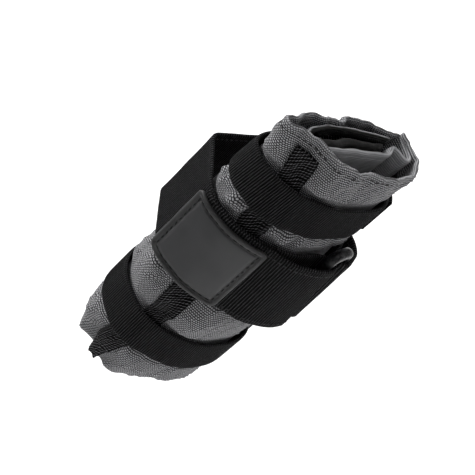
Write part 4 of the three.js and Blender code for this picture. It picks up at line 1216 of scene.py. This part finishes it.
class MakePanel(bpy.types.Operator):
    """The grey panel, rolled up, with its hem, its lining and the stitches along its rim"""
    bl_idname = "tool_roll.panel"
    bl_label = "Rolled panel"

    def execute(self, context):
        shape = RollShape()
        surface = PanelSurface(shape)
        half = mm(sizes().panel_thickness) / 2
        grid, normals, along = surface.grid, surface.normals, surface.along
        rows, steps = grid.shape[:2]
        rear = along[-1][None, :] - along
        front = along - along[0][None, :]
        rim = np.minimum(rear, front)
        slim = 1 - 0.34 * np.exp(-np.clip(rim, 0, 99) / 1.6)
        ends = np.minimum(surface.reach, surface.reach[-1] - surface.reach)
        thin = np.sqrt(np.clip(1 - np.clip(1 - ends / 1.1, 0, 1) ** 2, 0.06, 1))[None, :]
        groove = 0.26 * np.exp(-((rear - HEM_MARGIN) / 0.55) ** 2)
        outer = (half * slim - groove) * thin
        hem = smooth(HEM_WIDTH - rim)
        inner = -(half * slim - 0.35 * (1 - hem)) * thin
        lined = smooth((surface.turns - 1.22) / 0.05)
        points, cloth, lining, wear, lines = [], [], [], [], []
        # towards its underside and inside the roll the weave shows as lines along the rim
        under = 0.75 * (1 - smooth((surface.turns - 0.2) / 0.14)) + smooth((surface.turns - 1.0) / 0.08)
        # painted light: the outer face of the second turn is painted paler near the rim, fading out deeper
        # into the roll
        second = 1.9 * smooth((surface.turns - 1.03) / 0.08) * (1 - smooth((surface.turns - 1.5) / 0.1))

        def add(row, offset, ahead, is_inner):
            flat = grid[row] + normals[row] * offset[:, None]
            points.append(np.column_stack([along[row] + ahead, flat]))
            cloth.append(np.column_stack([surface.reach / 1000, (along[row] + ahead) / 1000,
                                          np.full(steps, 0.0)]))
            lining.append(np.maximum(smooth((rim[row] - 9.5) / 0.8), lined) if is_inner else np.zeros(steps))
            edge = np.exp(-(np.clip(rim[row], 0, 9) / 0.5) ** 2)
            # painted light on the outer face only, fading out between 10 and 26 mm in from the rim
            second_turn_painted_light = 0.0 if is_inner else second * (1 - smooth((rim[row] - 10.0) / 16.0))
            wear.append(second_turn_painted_light + edge * (0.6 + 0.4 * noise_grid(surface.reach / 3.0, row * 0.3, 5.0)))
            lines.append(under)

        arc = np.linspace(math.pi / 2, -math.pi / 2, 7)[1:-1]
        for row in range(rows):
            add(row, outer[row], 0.0, False)
        for angle in arc:
            add(rows - 1, 0.66 * half * thin[0] * math.sin(angle), 0.66 * half * math.cos(angle), angle < 0)
        for row in range(rows - 1, -1, -1):
            add(row, inner[row], 0.0, True)
        for angle in arc[::-1]:
            add(0, 0.66 * half * thin[0] * math.sin(angle), -0.66 * half * math.cos(angle), angle < 0)
        points = np.stack(points, 1)
        count = points.shape[1]
        attributes = {"cloth": np.stack(cloth, 1).reshape(-1, 3), "lining": np.stack(lining, 1).ravel(),
                      "wear": np.stack(wear, 1).ravel(), "rows": np.stack(lines, 1).ravel()}
        piece = new_piece("rolled_panel", points.reshape(-1, 3), tube_faces(steps, count), grey_cloth(),
                          attributes)
        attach(piece, "root")
        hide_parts("roll_panel")
        stitches = self.hem_stitches(surface, outer)
        return {"FINISHED"}

    def hem_stitches(self, surface, outer):
        """The row of stitches along the hem of the outer turn"""
        row = int(np.argmin(np.abs(mm(sizes().roll_length) - surface.places - HEM_MARGIN)))
        spot = surface.grid[row] + surface.normals[row] * (outer[row] + 0.08)[:, None]
        seam = np.column_stack([surface.along[row], spot])
        normal = np.column_stack([np.zeros(len(spot)), surface.normals[row]])
        keep = surface.turns < 1.0
        piece = stitch_row("hem_stitches", [(seam[keep][2:], normal[keep][2:])], sewing_thread())
        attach(piece, "root")
        return piece


def strap_lines(shape, middle):
    """Middle lines of a cinch strap at both its edges, with its lap"""
    half = mm(sizes().strap_width) / 2
    thickness = mm(sizes().strap_thickness)
    lines = []
    for along in (middle - half, middle + half):
        loop = taut_loop(shape, along, FINE_STEPS * 4, STRAP_END_DEG)
        turns = 1 + STRAP_OVERLAP / loop["total"]
        way = turns * np.arange(FINE_STEPS * 2 + 1) / (FINE_STEPS * 2)
        point, normal = loop_at(loop, -way)
        rise = (thickness + CLEARANCE) * smooth((way - 0.93) / 0.07)
        lines.append(point + normal * (thickness / 2 + rise)[:, None])
    return (middle - half, middle + half), lines


def edge_seams(places, lines, inset, lift, ends=(0.0, 1.0)):
    """Seam lines parallel to both edges of a ribbon, on its outer face"""
    seams = []
    for side in (0, 1):
        near, far = (0, len(places) - 1) if side == 0 else (len(places) - 1, 0)
        width = abs(places[far] - places[near])
        share = inset / width
        line = softened(lines[near] * (1 - share) + lines[far] * share, 6)
        normal = line_normals(line)
        place = places[near] + (places[far] - places[near]) * share
        spot = line + normal * lift
        keep = slice(int(len(line) * ends[0]), int(len(line) * ends[1]) or None)
        seams.append((np.column_stack([np.full(len(line), place), spot])[keep],
                      np.column_stack([np.zeros(len(line)), normal])[keep]))
    return seams


class MakeCinchStraps(bpy.types.Operator):
    """Both cinch straps, ribbed black webbing with its end lapped over its start"""
    bl_idname = "tool_roll.straps"
    bl_label = "Cinch straps"

    def execute(self, context):
        shape = RollShape()
        half, thickness = mm(sizes().strap_width) / 2, mm(sizes().strap_thickness)
        for seed, (name, node, middle) in enumerate((("front_cinch", "front_strap", FRONT_STRAP_AT),
                                                     ("rear_cinch", "rear_strap", REAR_STRAP_AT))):
            places, lines = strap_lines(shape, middle)
            material = black_webbing("strap_webbing", pitch=STRAP_RIB_PITCH / 1000)
            piece = ribbon(name, places, lines, half, thickness, 0.26, 16, material, seed + 1)
            ribbed(piece, pitch=STRAP_RIB_PITCH / 1000)
            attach(piece, "root")
            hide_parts(node)
        return {"FINISHED"}


class BandFrame:
    """The wide band's way round the roll, over its top corners and through the ring, at one section"""

    def __init__(self, shape, along):
        bar, thickness = mm(sizes().ring_bar), mm(sizes().band_thickness)
        self.turn_radius = bar / 2 + STRAP_GAP + thickness / 2
        self.pitch = RING_SLOT + bar
        self.section = section_at(along)
        radius = CORNER_DIAMETER / 2 + CLEARANCE
        angle = 2 * math.pi * np.arange(48) / 48
        corners = [np.column_stack([CORNER_OFFSET + side * CORNER_SPACING / 2 + radius * np.cos(angle),
                                  CORNER_RISE + radius * np.sin(angle)]) for side in (-1, 1)]
        self.loop = taut_loop(shape, along, 960, NEAR_BAR_DEG, np.vstack(corners))
        self.outer_layer = 1.5 * thickness + CLEARANCE
        self.bar_outside = thickness / 2 + RING_STAND_OFF + 2 * self.turn_radius
        offset = thickness / 2 + RING_STAND_OFF + self.turn_radius
        self.near_bar = self.offset(0, offset)
        self.far_share = self.pitch / self.loop["total"]
        spread = self.offset(self.far_share, offset) - self.near_bar
        self.far_bar = self.near_bar + spread / np.linalg.norm(spread) * self.pitch

    def offset(self, share, distance):
        point, normal = loop_at(self.loop, share)
        return point + normal * (distance[..., None] if isinstance(distance, np.ndarray) else distance)

    def settled(self, distance):
        return self.outer_layer + (self.bar_outside - self.outer_layer) * (
            1 - smooth(np.asarray(distance) / BAND_SETTLE_LENGTH))

    def patch_shares(self):
        top = share_of_direction(self.loop, self.section, PATCH_TOP_DEG) - 1
        return top, top + (mm(sizes().patch_length) + PATCH_OVERHANG * 2) / self.loop["total"]

    def bar_turn(self, centre, normal, slotward):
        angle = (math.pi * np.arange(BAR_TURN_STEPS + 1) / BAR_TURN_STEPS)[:, None]
        return (centre - normal * self.turn_radius * np.cos(angle)
                + slotward * self.turn_radius * np.sin(angle))

    def line(self):
        thickness, total = mm(sizes().band_thickness), self.loop["total"]
        slotward = (self.far_bar - self.near_bar) / self.pitch
        outward = np.array([slotward[1], -slotward[0]])
        anchor = BAND_ANCHOR_LENGTH / total
        clear = self.turn_radius * 0.9 / total
        tail = self.offset(self.far_share + clear + anchor * (1 - np.arange(20) / 20), thickness / 2)
        first = self.bar_turn(self.far_bar, outward, -slotward)
        start = self.far_share + clear
        share = start + (1 - clear - start) * np.arange(FINE_STEPS * 2 + 1) / (FINE_STEPS * 2)
        distance = (share - self.far_share) * total
        over = 1 - smooth((distance - BAND_ANCHOR_LENGTH - 3) / 10)
        from_bar = (self.bar_outside - self.outer_layer) * (1 - smooth(distance / BAND_ANCHOR_LENGTH))
        body = self.offset(share, thickness / 2 + (self.outer_layer - thickness / 2) * over + from_bar)
        second = self.bar_turn(self.near_bar, outward, slotward)
        end = self.patch_shares()[0] + PATCH_OVERHANG / total
        share = -clear + (end + clear) * np.arange(1, 161) / 160
        return np.vstack([tail, first, body, second, self.offset(share, self.settled(-share * total))])


def band_places():
    half = mm(sizes().band_width) / 2
    return (BAND_AT - half, BAND_AT, BAND_AT + half)


class MakeBand(bpy.types.Operator):
    """The wide band round the roll, up over its two top corners, through the ring and back"""
    bl_idname = "tool_roll.band"
    bl_label = "Wide band"

    def execute(self, context):
        shape = RollShape()
        places = band_places()
        lines = [BandFrame(shape, along).line() for along in places]
        half, thickness = mm(sizes().band_width) / 2, mm(sizes().band_thickness)
        piece = ribbon("saddle_loop", places, lines, half, thickness, 0.34, 22, black_webbing(), 5, 0.3)
        ribbed(piece)
        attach(piece, "root")
        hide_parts("saddle_band")
        seams = edge_seams(places, lines, 3.0, thickness / 2 + 0.1, (0.08, 0.995))
        piece = stitch_row("band_stitches", seams, sewing_thread())
        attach(piece, "root")
        return {"FINISHED"}


class MakeRing(bpy.types.Operator):
    """The rectangular plastic ring that the band runs through"""
    bl_idname = "tool_roll.ring"
    bl_label = "Ring"

    def execute(self, context):
        shape = RollShape()
        places = band_places()
        width = mm(sizes().band_width)
        bar = mm(sizes().ring_bar)
        front, rear = BandFrame(shape, places[0]), BandFrame(shape, places[2])
        reach = width / 2 + RING_SIDE_PLAY + bar / 2

        def stretched(which, sign):
            low = np.array([places[0], *getattr(front, which)])
            high = np.array([places[2], *getattr(rear, which)])
            return low + (high - low) * (0.5 + sign * reach / width)

        corners = [stretched("near_bar", -1), stretched("near_bar", 1), stretched("far_bar", 1),
                   stretched("far_bar", -1)]
        bend = bar * RING_BEND
        middles = []
        for i, corner in enumerate(corners):
            before, after = corners[i - 1] - corner, corners[(i + 1) % 4] - corner
            start = corner + before / np.linalg.norm(before) * bend
            end = corner + after / np.linalg.norm(after) * bend
            for t in np.linspace(0, 1, 9):
                middles.append(start * (1 - t) ** 2 + corner * 2 * t * (1 - t) + end * t * t)
            far = corners[(i + 1) % 4] + (corner - corners[(i + 1) % 4]) / np.linalg.norm(after) * bend
            middles += [end + (far - end) * t for t in (0.25, 0.5, 0.75)]
        middles = np.array(middles)
        flat = np.cross(corners[1] - corners[0], corners[3] - corners[0])
        flat /= np.linalg.norm(flat)
        tangent = np.roll(middles, -1, axis=0) - np.roll(middles, 1, axis=0)
        outward = np.cross(tangent / np.linalg.norm(tangent, axis=1, keepdims=True), flat)
        angle = 2 * math.pi * np.arange(24) / 24
        # slightly flattened bars with a fine moulding line along their edges
        round_up = np.abs(np.cos(angle)) ** 0.85 * np.sign(np.cos(angle))
        seam = 1 + 0.025 * (np.abs(np.sin(angle)) < 0.05)
        points = (middles[:, None] + outward[:, None] * (bar / 2 * round_up * seam)[None, :, None]
                  + flat[None, None] * (bar / 2 * np.sin(angle))[None, :, None])
        piece = new_piece("loop_ring", points.reshape(-1, 3), tube_faces(len(middles), 24, True),
                          moulded_plastic())
        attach(piece, "root")
        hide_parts("band_ring")
        return {"FINISHED"}


class PatchSurface:
    """Points on the band's outer layer under the patch: across the band and down it, in millimetres"""

    def __init__(self, shape):
        half = mm(sizes().patch_width) / 2
        self.across = (-half, 0.0, half)
        self.down = np.linspace(0, mm(sizes().patch_length), 40)
        rows = []
        for across in self.across:
            band = BandFrame(shape, BAND_AT + across)
            share = band.patch_shares()[0] + self.down / band.loop["total"]
            base = band.settled(-share * band.loop["total"]) + mm(sizes().band_thickness) / 2 + CLEARANCE
            rows.append(softened(band.offset(share, base), 4))
        self.rows = np.array(rows)
        self.normals = -line_normals(self.rows)
        if np.mean(np.einsum("ijk,ijk->ij", self.normals, self.rows)) < 0:
            self.normals = -self.normals

    def at(self, across, down, lift):
        across, down = np.asarray(across, float), np.asarray(down, float)
        share = np.clip((across - self.across[0]) / (self.across[1] - self.across[0]), 0, 1.9999)
        k = np.floor(share).astype(int)
        rest = (share - k)[:, None]
        out, up = [], []
        for row, normal in zip(self.rows, self.normals):
            out.append(along_line(row, down, self.down))
            up.append(along_line(normal, down, self.down))
        out, up = np.array(out), np.array(up)
        pick = np.arange(len(across))
        spot = out[k, pick] * (1 - rest) + out[k + 1, pick] * rest
        normal = up[k, pick] * (1 - rest) + up[k + 1, pick] * rest
        spot = spot + normal * np.asarray(lift)[:, None]
        return np.column_stack([BAND_AT + across, spot]), np.column_stack([np.zeros(len(across)), normal])


def rounded_outline(half_width, length, inset, radius, count):
    """A rounded rectangle inset from the patch's edge, as across and down"""
    radius = max(radius - inset * 0.8, 0.35)
    width, height = half_width - inset, length / 2 - inset
    corners = [(width - radius, height - radius, 0), (-(width - radius), height - radius, 90),
               (-(width - radius), -(height - radius), 180), (width - radius, -(height - radius), 270)]
    spots = []
    for x, y, start in corners:
        for angle in np.radians(start + np.linspace(0, 90, 9)):
            spots.append((x + radius * math.cos(angle), y + radius * math.sin(angle)))
    spots = np.array(spots + [spots[0]])
    lengths = line_lengths(spots)
    even = along_line(spots, np.arange(count) / count * lengths[-1], lengths)
    return even[:, 0], even[:, 1] + length / 2


class MakePatch(bpy.types.Operator):
    """The rubber patch with its raised border and the stitches in its groove"""
    bl_idname = "tool_roll.patch"
    bl_label = "Rubber patch"

    def execute(self, context):
        surface = PatchSurface(RollShape())
        half, length = mm(sizes().patch_width) / 2, mm(sizes().patch_length)
        thick = mm(sizes().patch_thickness)
        count = 216
        # inset from the edge, height over the band
        profile = ((0.35, 0.0), (0.0, 0.35), (0.0, thick * 0.72), (0.12, thick * 0.9), (0.4, thick),
                   (1.0, thick + 0.04), (1.55, thick), (1.8, thick * 0.9), (1.95, thick * 0.72),
                   (2.3, thick * 0.66), (2.9, thick * 0.64), (3.25, thick * 0.68), (3.45, thick * 0.82),
                   (3.8, thick * 0.88), (5.0, thick * 0.9), (8.0, thick * 0.93), (12.0, thick * 0.96),
                   (15.5, thick * 0.97))
        points, wear, border = [], [], []
        for inset, lift in profile:
            across, down = rounded_outline(half, length, inset, 2.2, count)
            dents = 0.05 * noise_grid(across / 7.0, down / 7.0, 2.0) if inset > 4 else 0.0
            points.append(surface.at(across, down, np.full(count, lift) + dents)[0])
            # painted highlight: the outer top edge of the raised border is marked to be painted paler
            wear.append(np.full(count, math.exp(-((inset - 0.3) / 0.45) ** 2) if lift > 0.8 else 0.0))
            border.append(np.full(count, float(smooth((3.9 - inset) / 0.8))))
        points, wear = np.vstack(points), np.concatenate(wear)
        faces = tube_faces(len(profile), count)
        piece = new_piece("rubber_badge", points, faces, satin_rubber(),
                          {"wear": wear, "border": np.concatenate(border)})
        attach(piece, "root")
        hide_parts("rubber_patch")
        across, down = rounded_outline(half, length, 2.62, 2.2, 400)
        seam, normal = surface.at(across, down, np.full(400, thick * 0.64 + 0.12))
        piece = stitch_row("patch_stitches", [(np.vstack([seam, seam[:1]]), np.vstack([normal, normal[:1]]))],
                           sewing_thread("patch_thread", (0.003, 0.003, 0.003)), length=0.0023,
                           spacing=0.0034, width=0.0008)
        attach(piece, "root")
        return {"FINISHED"}


class MakeSpine(bpy.types.Operator):
    """The webbing spine along the roll, pinched by the straps and turned in at the front"""
    bl_idname = "tool_roll.spine"
    bl_label = "Webbing spine"

    def execute(self, context):
        shape = RollShape()
        rear_end = mm(sizes().roll_length) - SPINE_REAR_MARGIN
        thickness = mm(sizes().panel_thickness)
        outside = CLEARANCE + SPINE_THICKNESS / 2
        inside = -thickness - outside
        path = [(along, 0.0, outside) for along in np.arange(rear_end, 0, -0.42)]
        for angle in np.linspace(0, math.pi, 15):
            path.append((0.0, math.sin(angle) * (CLEARANCE + SPINE_THICKNESS * 0.8),
                         (outside + inside) / 2 + math.cos(angle) * (outside - inside) / 2))
        path += [(along, 0.0, inside) for along in np.arange(0.5, SPINE_TURN_IN, 0.5)]
        path = np.array(path)
        ahead = np.column_stack([path[:, 0] - path[:, 1], path[:, 2]])
        normals = line_normals(ahead)
        profile = edge_profile(1.0, 0.1, 9, 3)
        profile[:, 1] = np.sign(profile[:, 1]) * np.minimum(np.abs(profile[:, 1]) * 10, 1.0)
        points, cloth, ribs = [], [], []
        reach = line_lengths(ahead)
        for k, (along, forward, offset) in enumerate(path):
            loop = shape.skin(along)
            section = section_at(along)
            middle = share_of_direction(loop, section, table(SPINE_LINE, along))
            free = openness(along)[0]
            waist = 1 - sum(depth * math.exp(-((along - at) / long) ** 2) for at, long, depth in SPINE_WAISTS)
            share = middle + profile[:, 0] * SPINE_WIDTH / 2 * waist / loop["total"]
            spot, normal = loop_at(loop, share)
            height = folds(np.full(len(share), along), 1 - share)
            height = height + rim_waves(along, (1 - share) / OUTER_TURN * TURN_LENGTH)
            crumple = smooth((17.0 - along) / 10.0) * 1.15 * noise_grid(
                profile[:, 0] * 1.7, reach[k] / 3.0, 81.0)
            cup = 0.25 * float(free) * (1 - profile[:, 0] ** 2)
            lift = profile[:, 1] * SPINE_THICKNESS / 2
            rise = offset + height + lift * normals[k, 1] + (crumple + cup) * (1 if offset > 0 else 0)
            rim = table(FRONT_EDGE, (1 - share) / OUTER_TURN) * max(0.0, 1 - along / STATIONS[1])
            place = along - rim - forward + lift * normals[k, 0]
            points.append(np.column_stack([place, spot + normal * rise[:, None]]))
            cloth.append(np.column_stack([np.full(len(share), reach[k] / 1000),
                                          profile[:, 0] * SPINE_WIDTH / 2000, np.zeros(len(share))]))
            ribs.append(smooth((1.0 - np.abs(profile[:, 0])) / 0.15))
        # lift 2.2 gives the spine's ribs a stronger painted highlight
        material = black_webbing("spine_webbing_cloth", slant=0.75, pitch=0.0015, lift=2.2)
        piece = new_piece("spine_ribbon", np.vstack(points), tube_faces(len(path), len(profile)), material,
                          {"cloth": np.vstack(cloth), "rib": np.concatenate(ribs)})
        ribbed(piece, pitch=0.0015, depth=0.0001)
        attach(piece, "root")
        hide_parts("spine_webbing")
        return {"FINISHED"}


def sheet_piece(name, places, lines, thickness, material, step, wave, seed):
    """A thin cloth whose middle lines are given at places along the roll, with soft waves and round rims"""
    middle = lines[len(lines) // 2]
    lengths = line_lengths(middle)
    count = int(lengths[-1] / step)
    grid = np.array([along_line(line, np.linspace(0, line_lengths(line)[-1], count + 1)) for line in lines])
    reach = np.linspace(0, lengths[-1], count + 1)
    normals = line_normals(grid)
    height = wave * noise_grid(np.asarray(places)[:, None] / 12.0, reach[None, :] / 7.0, seed)
    grid = grid + normals * height[..., None]
    normals = line_normals(grid)
    half = thickness / 2
    ends = np.minimum(reach, reach[-1] - reach)
    thin = np.sqrt(np.clip(1 - np.clip(1 - ends / half, 0, 1) ** 2, 0.06, 1))
    edge = 0.35 * noise_grid(reach / 4.0, seed, 0.0)
    points, cloth = [], []

    def add(row, offset, ahead):
        near = 1.0 if row == len(places) - 1 else 0.0
        place = places[row] + ahead + edge * near
        points.append(np.column_stack([place, grid[row] + normals[row] * (offset * thin)[:, None]]))
        cloth.append(np.column_stack([reach / 1000, place / 1000, np.zeros(count + 1)]))

    arc = np.linspace(math.pi / 2, -math.pi / 2, 6)[1:-1]
    for row in range(len(places)):
        add(row, half, 0.0)
    for angle in arc:
        add(len(places) - 1, half * math.sin(angle), half * math.cos(angle))
    for row in range(len(places) - 1, -1, -1):
        add(row, -half, 0.0)
    for angle in arc[::-1]:
        add(0, half * math.sin(angle), -half * math.cos(angle))
    points = np.stack(points, 1)
    return new_piece(name, points.reshape(-1, 3), tube_faces(count + 1, points.shape[1]), material,
                     {"cloth": np.stack(cloth, 1).reshape(-1, 3)}), reach[-1] / 1000


def last_stretch(shape, along, drop):
    """The panel's last stretch inside the roll, moved off its inner face by drop"""
    line = shape.panel(along)[0]
    normals = line_normals(line)
    first, last = round(FINE_STEPS * (1 + POCKET_FROM)), round(FINE_STEPS * (1 + POCKET_TO))
    return line[first:last] - normals[first:last] * drop


class MakePockets(bpy.types.Operator):
    """The black pocket cloth with its corded mouth, and the smooth flap that lies under it"""
    bl_idname = "tool_roll.pockets"
    bl_label = "Pockets and flap"

    def execute(self, context):
        shape = RollShape()
        length, thickness = mm(sizes().roll_length), mm(sizes().panel_thickness)
        mouth = length - POCKET_INSET
        places = np.linspace(mouth - POCKET_DEPTH, mouth, 70)
        drop = thickness / 2 + CLEARANCE + POCKET_THICKNESS / 2
        pocket, width = sheet_piece("pocket_cloth", places, [last_stretch(shape, p, drop) for p in places],
                                  POCKET_THICKNESS, pocket_twill_with_painted_light(), 0.9, POCKET_WAVES, 91.0)
        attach(pocket, "root")
        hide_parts("pocket_panel")
        self.cord(shape, mouth)
        places = np.linspace(mouth - FLAP_DEPTH, mouth, 50)
        lines = [spline([inside_point(section_at(p), *row) for row in FLAP_ROUTE], 80) for p in places]
        piece, width = sheet_piece("loose_flap", places, lines, FLAP_FULLNESS * FLAP_THICKNESS,
                                   flap_cloth(), 0.8, FLAP_WAVES, 95.0)
        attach(piece, "root")
        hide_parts("inner_flap")
        return {"FINISHED"}

    def cord(self, shape, mouth):
        """The mouth's overlocked edge: a core with turns of thick thread wound round it"""
        radius = BINDING_DIAMETER / 2
        along = mouth + radius + CLEARANCE
        drop = mm(sizes().panel_thickness) / 2 + CLEARANCE + radius
        line = last_stretch(shape, min(along, mm(sizes().roll_length)), drop)
        normals = line_normals(line)
        seam = np.column_stack([np.full(len(line), along), line])
        lift = np.column_stack([np.zeros(len(line)), normals])
        # lift 4.0 paints the cord's thread much lighter, painted light for the shade inside the roll
        piece = stitch_row("pocket_cord", [(seam, lift)], black_webbing("cord_thread", pitch=0.0006, lift=4.0),
                           length=0.0015, spacing=0.0011, width=2 * radius / 1000 * 0.98,
                           rise=2 * radius / 1000 * 0.98, slant=0.6)
        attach(piece, "root")
        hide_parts("pocket_binding")
        return piece


class ToolRollPanel(bpy.types.Panel):
    """Lists the pieces and the settings of the tool roll"""
    bl_idname = "VIEW3D_PT_tool_roll"
    bl_label = "Tool Roll"
    bl_space_type = "VIEW_3D"
    bl_region_type = "UI"
    bl_category = "Tool Roll"

    def draw(self, context):
        scene = context.scene
        for group in (scene.tool_roll_sizes, scene.tool_roll_fabric, scene.tool_roll_stitches,
                      scene.tool_roll_studio):
            box = self.layout.box()
            for key in group.bl_rna.properties.keys():
                if key not in ("rna_type", "name"):
                    box.prop(group, key)
        for operator in OPERATORS:
            self.layout.operator(operator.bl_idname)


OPERATORS = (MakeStage, MakePanel, MakeSpine, MakeCinchStraps, MakeBand, MakeRing, MakePatch, MakePockets)
SETTINGS = {"tool_roll_sizes": RollSizes, "tool_roll_fabric": FabricLook, "tool_roll_stitches": StitchLook,
            "tool_roll_studio": StudioLook}


def register():
    for kind in (*SETTINGS.values(), *OPERATORS, ToolRollPanel):
        bpy.utils.register_class(kind)
    for key, kind in SETTINGS.items():
        setattr(bpy.types.Scene, key, PointerProperty(type=kind))


def unregister():
    for key in SETTINGS:
        delattr(bpy.types.Scene, key)
    for kind in reversed((*SETTINGS.values(), *OPERATORS, ToolRollPanel)):
        bpy.utils.unregister_class(kind)


def main():
    register()
    for operator in OPERATORS:
        family, action = operator.bl_idname.split(".")
        getattr(getattr(bpy.ops, family), action)()


if __name__ == "__main__":
    main()
